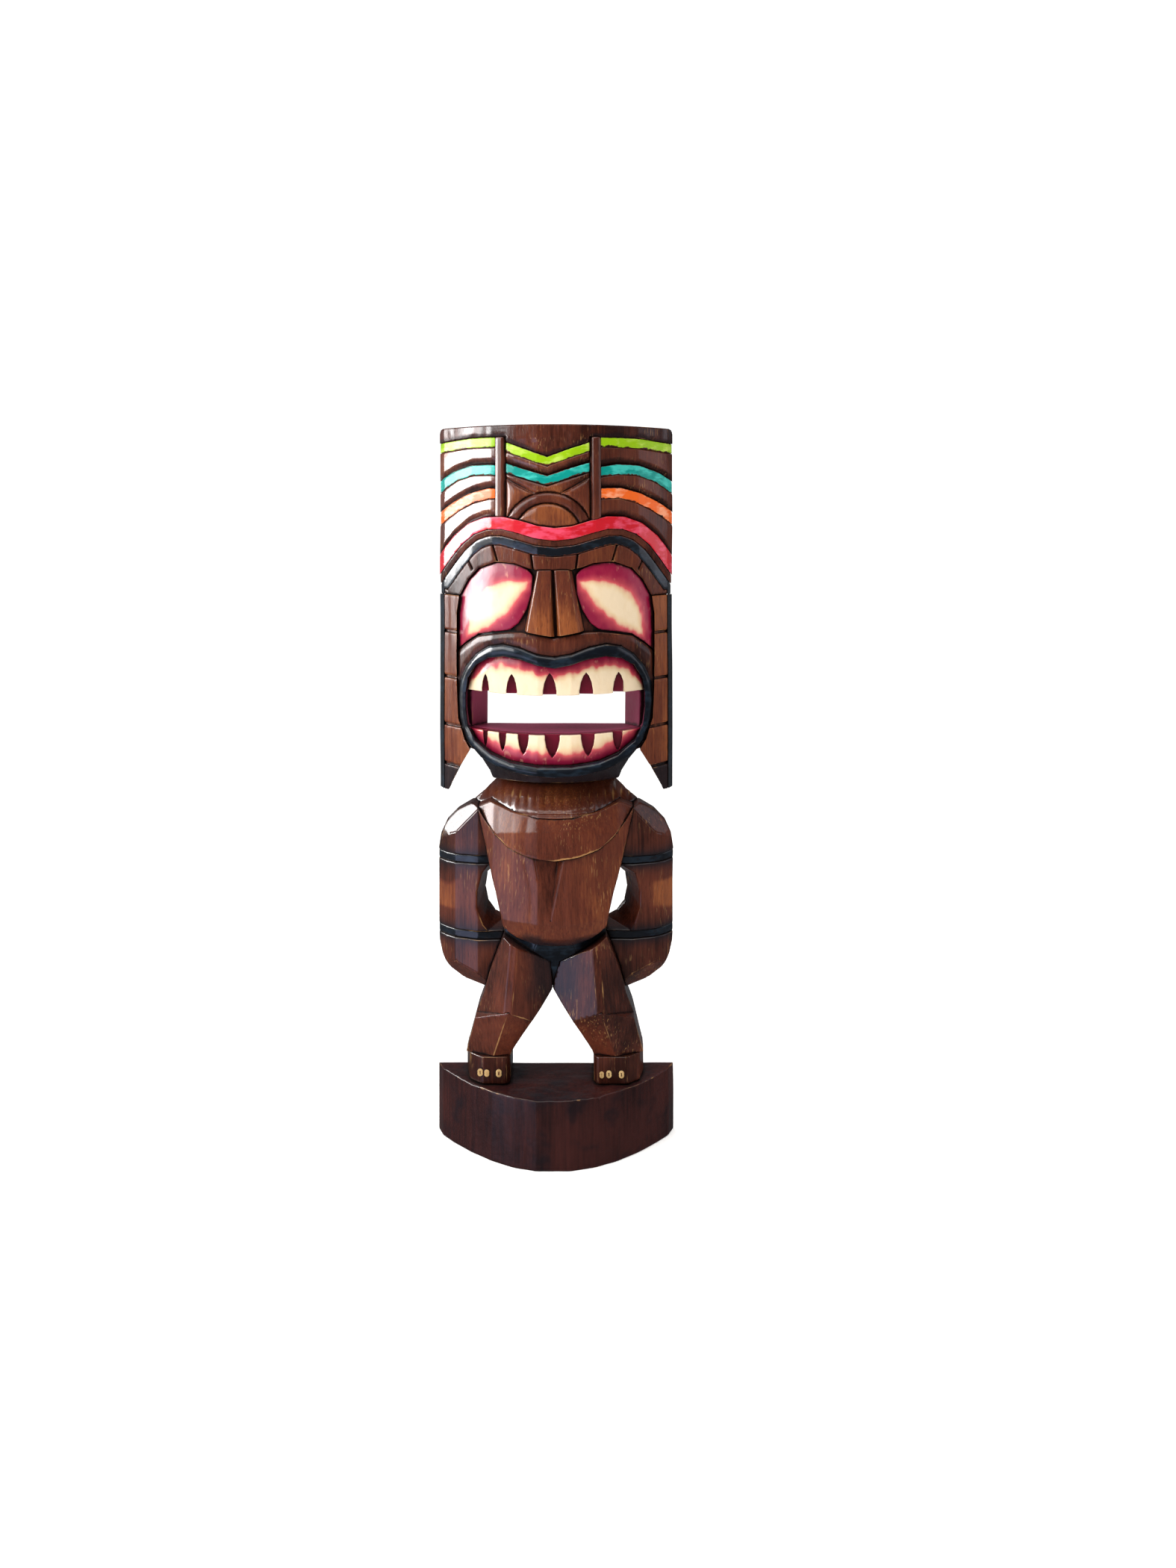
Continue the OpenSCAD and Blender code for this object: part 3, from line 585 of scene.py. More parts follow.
def faded_finish(name, f):
    """Crimson that fades through pink to cream, with maroon in the gaps."""
    r = Recipe(name)
    wood, _, _ = bare_wood(r, f)
    brush = r.noise(0.22, (1, 1, 0.6), 4.0, 4.0)
    fade = r.layer("fade") + (brush - 0.5) * 0.34
    tone = r.node("ShaderNodeValToRGB", {"stops": [
        (0.0, f.crimson), (0.3, mid(f.crimson, f.pink, 0.45)), (0.5, f.pink),
        (0.68, mid(f.pink, f.cream, 0.72)), (0.85, f.cream), (1.0, mid(f.cream, linear("#f6e6cc"), 0.4))]},
        {"Fac": fade})
    scuff = r.range(r.noise(0.25, (1, 1, 0.5), 5.0, 6.0), 0.58, 0.7) * r.range(fade, 0.35, 0.1)
    tone = r.mix(tone, mid(f.pink, f.cream, 0.5), scuff * 0.45)
    tone = r.mix(tone, f.maroon, r.range(r.layer("gap"), 0.35, 0.65))
    base, wax = weathered(r, f, tone, 0.1)
    height = brush * 0.00025 + r.noise(0.16, detail=2.0) * 0.0002
    return r.surface(base, 0.3 + wax * 0.25, height, specular=0.2, shine=0.24)


def mid(a, b, share):
    """A colour between two others."""
    return tuple(x + (y - x) * share for x, y in zip(a, b))


def dark_finish(name, f):
    """The plinth's dark red-brown, scraped lighter on its top edge."""
    r = Recipe(name)
    cloud = r.noise(0.03, (1, 1, 0.7), 4.0)
    streak = r.noise(0.7, (1, 1, 0.06), 5.0, 3.0)
    base = r.mix(linear("#1c0d0e"), linear("#3d1a17"), r.range(cloud * 0.6 + streak * 0.4, 0.3, 0.7))
    base = r.mix(base, linear("#141016"), r.range(r.noise(0.06, detail=3.0, seed=21.0), 0.5, 0.7) * 0.7)
    base, wax = weathered(r, f, base, 0.5)
    height = streak * 0.00012 + r.noise(0.2, detail=4.0) * 0.0004
    return r.surface(base, 0.4 + wax * 0.2, height)


def nail_finish(name, f):
    """Bare wood inside a ring of stain."""
    r = Recipe(name)
    wood, streak, _ = bare_wood(r, f)
    base = r.mix(wood, r.mix(f.nail, linear("#8a5a20"), streak), r.range(r.layer("paint"), 0.2, 0.5))
    return r.surface(base, 0.35, streak * 0.0001)


# ---------- carving ----------

DONE = {}


class Carver:
    """Steps shared by the operators that carve pieces: each names its nodes and shapes their fronts."""

    bl_options = {"REGISTER", "UNDO"}
    nodes = ()
    warm = 0.0
    smoky = 1.0
    wax_and_hollow_shade_share = 1.0
    gloss = 0.45
    finish = "stained_wood"
    spacing = 1.0
    easing = 1.0

    def shape(self, piece, sizes):
        """How far each point of the front is pressed back, in mm."""
        return sizes.gouge * (1 - gouges(piece.co, 6.5, 1)) * 0.5

    def layers(self, piece):
        """Layers of finish, painted shade and painted highlight that follow this piece's own shape."""
        return {}

    def execute(self, context):
        sizes = context.scene.tiki_shape
        for node in self.nodes:
            piece = Piece(node, sizes.step * self.spacing, sizes.easing * self.easing)
            piece.press(self.shape(piece, sizes))
            made = {
                "warm": np.full(len(piece.co), self.warm),
                "smoke": np.zeros(len(piece.co)),
                "gloss": np.full(len(piece.co), self.gloss),
            }
            made.update(self.layers(piece))
            piece.layers = made
            piece.smoky = self.smoky
            piece.wax_and_hollow_shade_share = self.wax_and_hollow_shade_share
            piece.finish_name = self.finish
            DONE[node] = piece
        return {"FINISHED"}


def pair(name):
    return (f"left_{name}", f"right_{name}")


def beyond(node):
    """Low and high corners of a CAD node, in mm."""
    low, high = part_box(node)
    return low * MM, high * MM


def cut_above(piece, depth, width):
    """A slope cut back towards the lower outline."""
    _, up = piece.span()
    return depth * np.clip(1 - up / width, 0, 1) ** 1.15


class TIKI_OT_plinth(Carver, bpy.types.Operator):
    """Carve the plinth, its top rough with chisel marks"""
    bl_idname = "tiki.plinth"
    bl_label = "Plinth"
    nodes = ("plinth",)
    gloss = 0.15
    finish = "dark_wood"
    smoky = 0.0

    def shape(self, piece, sizes):
        top = piece.z > piece.z.max() - 1.2
        marks = noise(piece.co, (16, 5, 9), 4) * 0.55 + noise(piece.co, (5, 2.2, 9), 5) * 0.3
        piece.z += np.where(top, marks * ease(0, 3, BACK_Y - piece.y) - 0.35, 0)
        return sizes.gouge * 0.5 * (1 - gouges(piece.co, 9, 2))

    def layers(self, piece):
        top = ease(2.5, 0.5, piece.z.max() - piece.z)
        chips = ease(0.25, 0.6, noise(piece.co, (2.2, 2.2, 2.2), 20)) * ease(1.6, 0.5, piece.edge)
        return {"gloss": 0.12 + 0.12 * top, "rubbed_and_lit": 1.7 * chips * top * piece.front}


class TIKI_OT_feet(Carver, bpy.types.Operator):
    """Carve the feet"""
    bl_idname = "tiki.feet"
    bl_label = "Feet"
    nodes = pair("foot")
    gloss = 0.3
    wax_and_hollow_shade_share = 0.6
    warm = -0.2
    easing = 0.9


class TIKI_OT_toenails(Carver, bpy.types.Operator):
    """Scrape the toenails down to bare wood"""
    bl_idname = "tiki.toenails"
    bl_label = "Toenails"
    nodes = pair("toenails")
    gloss = 0.2
    finish = "bare_wood"
    spacing = 0.4
    easing = 0.5
    smoky = 0.0

    def layers(self, piece):
        return {"paint": 1 - 0.75 * ease(0.75, 1.3, piece.edge + 0.25 * noise(piece.co, 0.9, 3))}


class TIKI_OT_legs(Carver, bpy.types.Operator):
    """Carve the thighs and shins in long flat facets"""
    bl_idname = "tiki.legs"
    bl_label = "Legs"
    nodes = pair("thigh") + pair("shin")
    warm = 0.0
    smoky = 0.9
    easing = 0.3
    gloss = 0.5

    def shape(self, piece, sizes):
        return sizes.gouge * 0.4 * (1 - gouges(piece.co, 8, 3))

    def layers(self, piece):
        low, high = beyond("hips")
        inner = ease(24, 8, abs(piece.x - (low.x + high.x) / 2) + 3 * noise(piece.co, 8, 19))
        return {"smoke": 0.65 * inner * ease(low.z - 14, low.z, piece.z)}


class TIKI_OT_hips(Carver, bpy.types.Operator):
    """Carve the black hips"""
    bl_idname = "tiki.hips"
    bl_label = "Hips"
    nodes = ("hips",)
    gloss = 0.5
    finish = "black_paint"

    def layers(self, piece):
        return {"paint": np.full(len(piece.co), 0.85)}


class TIKI_OT_torso(Carver, bpy.types.Operator):
    """Carve the belly and the chest"""
    bl_idname = "tiki.torso"
    bl_label = "Torso"
    nodes = ("belly", "chest")
    gloss = 0.4
    warm = 0.28
    smoky = 0.8

    def shape(self, piece, sizes):
        return sizes.gouge * 1.2 * (1 - gouges(piece.co, 9, 4)) * ease(0, 3, piece.edge)

    def layers(self, piece):
        if piece.node == "belly":
            low = piece.z.min()
            return {"smoke": 0.85 * ease(low + 11, low + 1, piece.z + 2 * noise(piece.co, 6, 18))}
        _, up = piece.span()
        return {"rubbed_and_lit": (1.25 + 0.6 * noise(piece.co, (7, 30, 7), 21)) * ease(1.1, 0.4, up)}


class TIKI_OT_neck(Carver, bpy.types.Operator):
    """Carve the neck with short upright gouge marks round its foot"""
    bl_idname = "tiki.neck"
    bl_label = "Neck"
    nodes = ("neck",)
    gloss = 0.8
    warm = 0.15
    mark = 4.6
    ring_z = 195
    ring_reach = 6.5
    under_chin = (199, 204)

    def shape(self, piece, sizes):
        foot = self.moulding(piece)
        return sizes.gouge * (0.8 + 3.6 * foot) * (1 - gouges(piece.co, self.mark, 5)) - 2.4 * foot ** 0.6

    def moulding(self, piece):
        """1 along the rounded ring at the neck's foot."""
        return np.clip(1 - abs(piece.z - self.ring_z) / self.ring_reach, 0, 1)

    def layers(self, piece):
        ridge = 1 - gouges(piece.co, self.mark, 5)
        ring = self.moulding(piece)
        # Golden streaks on the ring's ridges and a warmer ring: painted highlight where the ring would catch
        # the light.
        return {
            "rubbed_and_lit": 1.5 * ring * ridge,
            "warm": self.warm + 0.3 * ring,
            # Black below the lip ring at the neck's top: the lip's black running down, and painted shade
            # under the chin.
            "smoke": 0.9 * ease(*self.under_chin, piece.z),
        }


class TIKI_OT_arms(Carver, bpy.types.Operator):
    """Carve the arms, smoky beside their bands"""
    bl_idname = "tiki.arms"
    bl_label = "Arms"
    nodes = pair("upper_arm") + pair("forearm") + pair("hand")
    warm = 0.05
    outer_side = (50, 60)

    def layers(self, piece):
        low, high = beyond("left_forearm")
        middle = (low.z + high.z) / 2
        patch = ease(9, 6, abs(piece.z - middle + 3 * noise(piece.co, (9, 30, 9), 22)))
        return {"warm": self.warm + 0.6 * patch * ease(*self.outer_side, abs(piece.x))}


class TIKI_OT_arm_bands(Carver, bpy.types.Operator):
    """Carve the painted bands round the arms and wrists"""
    bl_idname = "tiki.arm_bands"
    bl_label = "Arm bands"
    nodes = pair("arm_band") + pair("wrist_band")
    gloss = 0.7
    finish = "black_paint"

    def layers(self, piece):
        return {"paint": 0.62 + 0.3 * noise(piece.co, (5, 5, 1.2), 6)}


class TIKI_OT_head(Carver, bpy.types.Operator):
    """Carve the head's ground, back and open mouth"""
    bl_idname = "tiki.head"
    bl_label = "Head"
    nodes = ("head_core",)
    gloss = 0.3
    warm = 0.1
    smoky = 0.5
    mouth_half = 51.5
    mouth_slack = 0.6
    chin_slope = 4.5
    chin_z = (214, 207)
    chin_x = (48, 40)
    chin_stain_and_shade = (217, 211)

    def shape(self, piece, sizes):
        return self.chin_slope * ease(*self.chin_z, piece.z) * ease(*self.chin_x, abs(piece.x))

    def layers(self, piece):
        roof = beyond("upper_teeth")[0].z
        sill = beyond("lower_teeth")[1].z
        level = (piece.z > sill - self.mouth_slack) & (piece.z < roof + self.mouth_slack)
        inside = level & (abs(piece.x) < self.mouth_half) & ~piece.rear
        # The chin blackened under the lip ring: the lip's black running down, and painted shade under the
        # head's overhang.
        chin = ease(*self.chin_stain_and_shade, piece.z) * (1 - piece.rear)
        # Lighter golden wood along the floor of the mouth.
        sill_lightening = inside * (abs(piece.z - sill) < 1.5) * (0.22 + 0.2 * noise(piece.co, 2.5, 24))
        return {
            "paint": inside * 1.0,
            "gloss": np.where(inside, 0.0, self.gloss),
            "smoke": 0.9 * chin,
            "rubbed_and_lit": 1.3 * sill_lightening,
        }


class TIKI_OT_rim(Carver, bpy.types.Operator):
    """Carve the crown's plain rim and its hanging point"""
    bl_idname = "tiki.rim"
    bl_label = "Crown rim"
    nodes = ("crown_rim",)
    gloss = 0.6
    warm = -0.1
    point_x = -3.5
    point_half = (23, 21)

    def shape(self, piece, sizes):
        down, up = piece.span()
        point = ease(*self.point_half, abs(piece.x - self.point_x)) * np.clip((down - 6.5) / 7, 0, 1)
        chips = np.clip(noise(piece.co, (3, 9, 4), 8), 0, 1) * 0.5
        return 0.5 * ease(2.5, 0, up) * (1 - point) + 1.5 * point + chips * ease(0, 3, down)

    def layers(self, piece):
        _, up = piece.span()
        streaks = noise(piece.co, (2.5, 30, 14), 17)
        # Darker and duller along the lower edge: painted shade on the rim's bevel that faces down.
        edge = ease(3.2, 1.2, up + 1.6 * noise(piece.co, (7, 30, 7), 23))
        return {"gloss": (0.3 + 0.5 * streaks) * (1 - edge), "smoke": 0.6 * edge}


class TIKI_OT_courses(Carver, bpy.types.Operator):
    """Carve the crown's bare courses, each cut back above the stripe below"""
    bl_idname = "tiki.courses"
    bl_label = "Courses"
    nodes = pair("upper_course") + pair("middle_course") + pair("lower_course") + ("chevron_course",)
    gloss = 1.0
    wax_and_hollow_shade_share = 0.55

    def shape(self, piece, sizes):
        return 0.2 + cut_above(piece, sizes.course_cut, sizes.course_cut_w)

    def layers(self, piece):
        _, up = piece.span()
        patch = noise(piece.co, (9, 30, 5), 16)
        side = np.where(piece.x < 0, 1.0, 0.35)
        return {
            # Darker on the cut above the stripe below: painted shade on the bevel that faces down.
            "warm": 0.25 - 0.6 * ease(4, 1, up + noise(piece.co, (6, 6, 3), 14)),
            "gloss": side * (0.15 + 0.85 * ease(HALF_W, HALF_W - 9, abs(piece.x) + 5 * patch)),
        }


class Stripe(Carver):
    """A painted stripe, level with the course below it and ragged along its lower edge."""

    gloss = 0.2

    def shape(self, piece, sizes):
        return np.full(len(piece.co), -0.5)

    def layers(self, piece):
        down, up = piece.span()
        ragged = up + 0.9 * noise(piece.co, (3.5, 9, 2), 15)
        return {"paint": ease(-0.2, 0.5, down) * (0.3 + 0.7 * ease(0.1, 1.7, ragged))}


class TIKI_OT_green(Stripe, bpy.types.Operator):
    """Paint the green stripes and chevron"""
    bl_idname = "tiki.green"
    bl_label = "Green stripes"
    nodes = pair("green_stripe") + ("green_chevron",)
    finish = "green_paint"


class TIKI_OT_teal(Stripe, bpy.types.Operator):
    """Paint the teal stripes and chevron"""
    bl_idname = "tiki.teal"
    bl_label = "Teal stripes"
    nodes = pair("teal_stripe") + ("teal_chevron",)
    finish = "teal_paint"


class TIKI_OT_orange(Stripe, bpy.types.Operator):
    """Paint the orange stripes"""
    bl_idname = "tiki.orange"
    bl_label = "Orange stripes"
    nodes = pair("orange_stripe")
    finish = "orange_paint"


class TIKI_OT_posts(Carver, bpy.types.Operator):
    """Carve the two posts of the crown, grooved on their inner sides"""
    bl_idname = "tiki.posts"
    bl_label = "Posts"
    nodes = pair("post")
    gloss = 0.6
    finish = "rubbed_wood"
    warm = 0.15

    def shape(self, piece, sizes):
        middle = beyond("chevron_base")
        inner = (middle[0].x + middle[1].x) / 2
        near, far = np.abs(piece.x - inner).min(), np.abs(piece.x - inner).max()
        groove = np.clip(1 - (abs(piece.x - inner) - near) / 2.3, 0, 1)
        shoulder = np.clip(1 - (far - abs(piece.x - inner)) / 1.2, 0, 1)
        return -0.5 + 2.6 * groove + 0.9 * shoulder ** 2


class TIKI_OT_arch(Carver, bpy.types.Operator):
    """Carve the arch, its lens and the ground over them"""
    bl_idname = "tiki.arch"
    bl_label = "Arch"
    nodes = ("arch", "arch_lens", "chevron_base")
    gloss = 0.3
    finish = "rubbed_wood"
    warm = 0.5

    def shape(self, piece, sizes):
        down, up = piece.span()
        dome = -0.5 * ease(0, 4, piece.edge)
        return dome + 0.8 * ease(1.6, 0, np.minimum(down, piece.edge))

    def layers(self, piece):
        low, high = beyond("arch_lens")
        below = ease(high.z + 12, high.z + 6, piece.z)
        return {"warm": {"arch": 0.05, "arch_lens": 0.7, "chevron_base": 0.45}[piece.node] * below}


class TIKI_OT_brow(Carver, bpy.types.Operator):
    """Carve the bare bevel and the notched brow"""
    bl_idname = "tiki.brow"
    bl_label = "Brow"
    nodes = ("brow_bevel", "notched_brow")
    gloss = 0.15
    warm = 0.0
    smoky = 0.6

    def shape(self, piece, sizes):
        share = piece.share_down()
        if piece.node == "brow_bevel":
            return -0.7 + 1.3 * share
        return -0.3 + 0.5 * share


class TIKI_OT_red_band(Carver, bpy.types.Operator):
    """Carve and paint the red band of the brow"""
    bl_idname = "tiki.red_band"
    bl_label = "Red band"
    nodes = ("red_band",)
    gloss = 0.8
    finish = "red_paint"
    easing = 0.7

    def shape(self, piece, sizes):
        return -0.5 + 0.35 * piece.share_down()

    def layers(self, piece):
        return {"paint": 0.55 + 0.45 * ease(0, 0.7, piece.edge)}


class TIKI_OT_black_band(Carver, bpy.types.Operator):
    """Carve and paint the black band over the eyes"""
    bl_idname = "tiki.black_band"
    bl_label = "Black band"
    nodes = ("black_band",)
    gloss = 0.9
    finish = "black_paint"

    def shape(self, piece, sizes):
        return -0.4 + 0.7 * piece.share_down()

    def layers(self, piece):
        down, up = piece.span()
        return {"paint": 0.3 + 0.7 * ease(0, 1.4, np.minimum(down, up))}


class TIKI_OT_flaps(Carver, bpy.types.Operator):
    """Carve the hanging flaps beside the face"""
    bl_idname = "tiki.flaps"
    bl_label = "Flaps"
    nodes = pair("flap")
    gloss = 0.1
    warm = 0.6
    smoky = 0.35
    tip_z = (212.5, 209.5)

    def shape(self, piece, sizes):
        grain = noise(piece.co, (2.2, 30, 22), 12)
        return -0.2 + 0.4 * grain

    def layers(self, piece):
        tip = ease(*self.tip_z, piece.z + 1.5 * noise(piece.co, 5, 2))
        return {"smoke": tip * 0.9}


class TIKI_OT_flap_edges(Carver, bpy.types.Operator):
    """Carve and paint the black outer edges of the flaps"""
    bl_idname = "tiki.flap_edges"
    bl_label = "Flap edges"
    nodes = pair("flap_edge")
    gloss = 0.5
    finish = "black_paint"

    def shape(self, piece, sizes):
        return np.full(len(piece.co), -0.2)

    def layers(self, piece):
        return {"paint": 0.35 + 0.65 * ease(0, 0.8, piece.edge)}


class TIKI_OT_eyes(Carver, bpy.types.Operator):
    """Carve the swelling eyes and fade their paint from crimson to cream"""
    bl_idname = "tiki.eyes"
    bl_label = "Eyes"
    nodes = pair("eye")
    gloss = 1.0
    finish = "cream_paint"

    def shape(self, piece, sizes):
        rim = np.clip(piece.edge / 11, 0, 1)
        return 0.5 - sizes.eye_dome * (1 - (1 - rim) ** 2) + piece.round_off(11.0) * 0.8

    def layers(self, piece):
        low, high = beyond(piece.node)
        wide, tall = high.x - low.x, high.z - low.z
        if piece.node == "left_eye":
            out = (high.x - piece.x) / wide
        else:
            out = (piece.x - low.x) / wide
        up = (piece.z - low.z) / tall
        start, tip = np.array([0.10, 0.77]), np.array([0.82, 0.22])
        run = (tip - start) * (wide, tall)
        length = np.hypot(*run)
        along = ((out - start[0]) * wide * run[0] + (up - start[1]) * tall * run[1]) / length ** 2
        off = ((up - start[1]) * tall * run[0] - (out - start[0]) * wide * run[1]) / length
        leaf = np.clip(4 * along * (1 - along), -0.6, 1)
        inside = np.minimum(10.5 * leaf - off, off + 3.6 * leaf)
        inside = inside + noise(piece.co, 3, 4) * 0.8
        fade = ease(-7.5, 3.5, inside)
        return {"fade": fade, "gloss": self.gloss * (0.2 + 0.8 * fade)}


class TIKI_OT_nose(Carver, bpy.types.Operator):
    """Carve the nose in crisp facets"""
    bl_idname = "tiki.nose"
    bl_label = "Nose"
    nodes = ("nose",)
    gloss = 0.4
    finish = "rubbed_wood"
    warm = 0.2
    easing = 0.6
    spacing = 0.7

    def shape(self, piece, sizes):
        return np.zeros(len(piece.co))

    def layers(self, piece):
        low, high = beyond("nose")
        return {"warm": 0.15 + 0.5 * ease(high.z - 6, low.z + 4, piece.z)}


class TIKI_OT_cheeks(Carver, bpy.types.Operator):
    """Carve the cheeks between the eyes and the mouth"""
    bl_idname = "tiki.cheeks"
    bl_label = "Cheeks"
    nodes = ("cheeks",)
    gloss = 0.3
    warm = -0.05
    smoky = 0.5

    def shape(self, piece, sizes):
        return -0.4 + 0.8 * ease(3, 0, piece.edge)


class TIKI_OT_lip(Carver, bpy.types.Operator):
    """Carve and paint the round black lip"""
    bl_idname = "tiki.lip"
    bl_label = "Lip"
    nodes = ("lip_ring",)
    gloss = 0.45
    finish = "black_paint"
    easing = 1.4

    def shape(self, piece, sizes):
        return 0.4 - 0.9 * ease(0, 2.6, piece.edge)

    def layers(self, piece):
        return {"paint": 0.5 + 0.5 * ease(0, 1.0, piece.edge)}


class TIKI_OT_teeth(Carver, bpy.types.Operator):
    """Carve the teeth and fade their paint into the gums"""
    bl_idname = "tiki.teeth"
    bl_label = "Teeth"
    nodes = ("upper_teeth", "lower_teeth")
    gloss = 0.9
    finish = "cream_paint"
    wax_and_hollow_shade_share = 0.45
    spacing = 0.8
    easing = 0.8

    def shape(self, piece, sizes):
        down, up = piece.span()
        gum = down if piece.node == "upper_teeth" else up
        self.gap = self.depth_in_gap(piece)
        swell = (1 - (1 - np.clip(gum / 8, 0, 1)) ** 2) * (1 - self.gap)
        return 0.7 - sizes.tooth_swell * swell + piece.round_off() * (1 - self.gap)

    def depth_in_gap(self, piece):
        """1 on the floors of the gaps between the teeth, and 0 on the teeth."""
        bins = np.floor((piece.x + HALF_W) / 1.5).astype(int)
        face = np.full(bins.max() + 1, 99.0)
        np.minimum.at(face, bins[piece.front], piece.y[piece.front])
        used = np.flatnonzero(face < 98)
        level = np.interp(piece.x, used * 1.5 - HALF_W + 0.75, face[used])
        return ease(0.9, 1.9, piece.y - level)

    def layers(self, piece):
        down, up = piece.span()
        gum = down if piece.node == "upper_teeth" else up
        reach = 9 if piece.node == "upper_teeth" else 13
        fade = ease(0.3, reach, gum + noise(piece.co, (2.5, 9, 5), 9) * 1.6)
        return {"fade": fade, "gap": self.gap, "gloss": self.gloss * (0.2 + 0.8 * fade) * (1 - self.gap)}


class TIKI_OT_weather(bpy.types.Operator):
    """Lighten the worn edges, darken the hollows with dark waxing and painted shade, blacken the wood round
    the black paint, and finish the pieces
    """
    bl_idname = "tiki.weather"
    bl_label = "Weather and finish"
    bl_options = {"REGISTER", "UNDO"}

    def execute(self, context):
        sizes, f = context.scene.tiki_shape, context.scene.tiki_finish
        for piece in DONE.values():
            piece.wander(sizes.wobble)
        finishes = {
            "stained_wood": stained_finish("stained_wood", f),
            "rubbed_wood": stained_finish("rubbed_wood", f, 1.0),
            "dark_wood": dark_finish("dark_wood", f),
            "bare_wood": nail_finish("bare_wood", f),
            "black_paint": painted_finish("black_paint", f, f.black, linear("#15222e")),
            # The lighter pink of the red paint is painted sheen.
            "red_paint": painted_finish("red_paint", f, f.red, linear("#dc4460")),
            "green_paint": painted_finish("green_paint", f, f.green, linear("#b4d04e")),
            "teal_paint": painted_finish("teal_paint", f, f.teal, linear("#3cb8ac")),
            "orange_paint": painted_finish("orange_paint", f, f.orange, linear("#f29c72")),
            "cream_paint": faded_finish("cream_paint", f),
        }
        mouth = stained_finish("mouth_and_back", f, 0.8, f.mouth)
        # Painted shade and dark waxing in the hollows, from short rays.
        wax = self.hollows(24)
        self.smoke()
        for node, piece in DONE.items():
            layers = dict(piece.layers)
            layers["wax"] = wax[node] * piece.wax_and_hollow_shade_share
            worn = np.exp(-(piece.edge / 0.55) ** 2) * (1 - np.clip(wax[node] * 1.4, 0, 1))
            # Worn edges, chips and the painted highlight on the neck's ring all lighten towards the golden
            # colour.
            layers["wear"] = np.maximum(worn, layers.pop("rubbed_and_lit", 0))
            slot = piece.finish_name
            material = mouth if node == "head_core" else finishes[slot]
            thing = piece.finish("carved_" + node, material, layers)
            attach(thing, "root")
            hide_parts(node)
        return {"FINISHED"}

    def hollows(self, rays):
        """How far each point is shut in by the carving round it, by casting short rays: the hollows get
        painted shade from it, along with dark waxing.
        """
        reach = 3.6
        points, triangles, count = [], [], 0
        for piece in DONE.values():
            points.append(piece.co)
            triangles.append(piece.tris + count)
            count += len(piece.co)
        whole = BVHTree.FromPolygons(np.concatenate(points).tolist(), np.concatenate(triangles).tolist())
        turn = math.pi * (3 - math.sqrt(5))
        heights = [1 - 2 * (i + 0.5) / rays for i in range(rays)]
        ways = []
        for i, h in enumerate(heights):
            out = math.sqrt(1 - h * h)
            ways.append(Vector((math.cos(i * turn) * out, math.sin(i * turn) * out, h)))
        shut = {}
        for node, piece in DONE.items():
            normals = point_normals(piece)
            result = np.zeros(len(piece.co))
            for i in range(len(piece.co)):
                normal = Vector(normals[i])
                if normal.y > 0.6:
                    continue
                start = Vector(piece.co[i]) + normal * 0.12
                hit = total = 0.0
                for way in ways:
                    lean = way.dot(normal)
                    if lean < 0.1:
                        continue
                    total += lean
                    away = whole.ray_cast(start, way, reach)[3]
                    if away is not None:
                        hit += lean * (1 - away / reach) ** 0.5
                result[i] = hit / total
            shut[node] = result
        return shut

    def smoke(self):
        """Darkens wood near the black paint of the body and the mouth."""
        sources = [n for n in DONE if n.endswith(("arm_band", "wrist_band"))] + ["hips", "lip_ring"]
        places = np.concatenate([DONE[n].co[DONE[n].front] for n in sources])
        tree = KDTree(len(places))
        for i, p in enumerate(places):
            tree.insert(p, i)
        tree.balance()
        for piece in DONE.values():
            near = np.array([tree.find(p)[2] for p in piece.co])
            cloud = np.exp(-near / 5.5) * piece.smoky
            piece.layers["smoke"] = np.maximum(piece.layers["smoke"], cloud)


def point_normals(piece):
    """Normals at the points, from the triangles round them."""
    corners = piece.co[piece.tris]
    faces = np.cross(corners[:, 1] - corners[:, 0], corners[:, 2] - corners[:, 0])
    total = np.zeros_like(piece.co)
    for k in range(3):
        np.add.at(total, piece.tris[:, k], faces)
    return total / np.maximum(np.linalg.norm(total, axis=1), 1e-9)[:, None]


# ---------- stage ----------

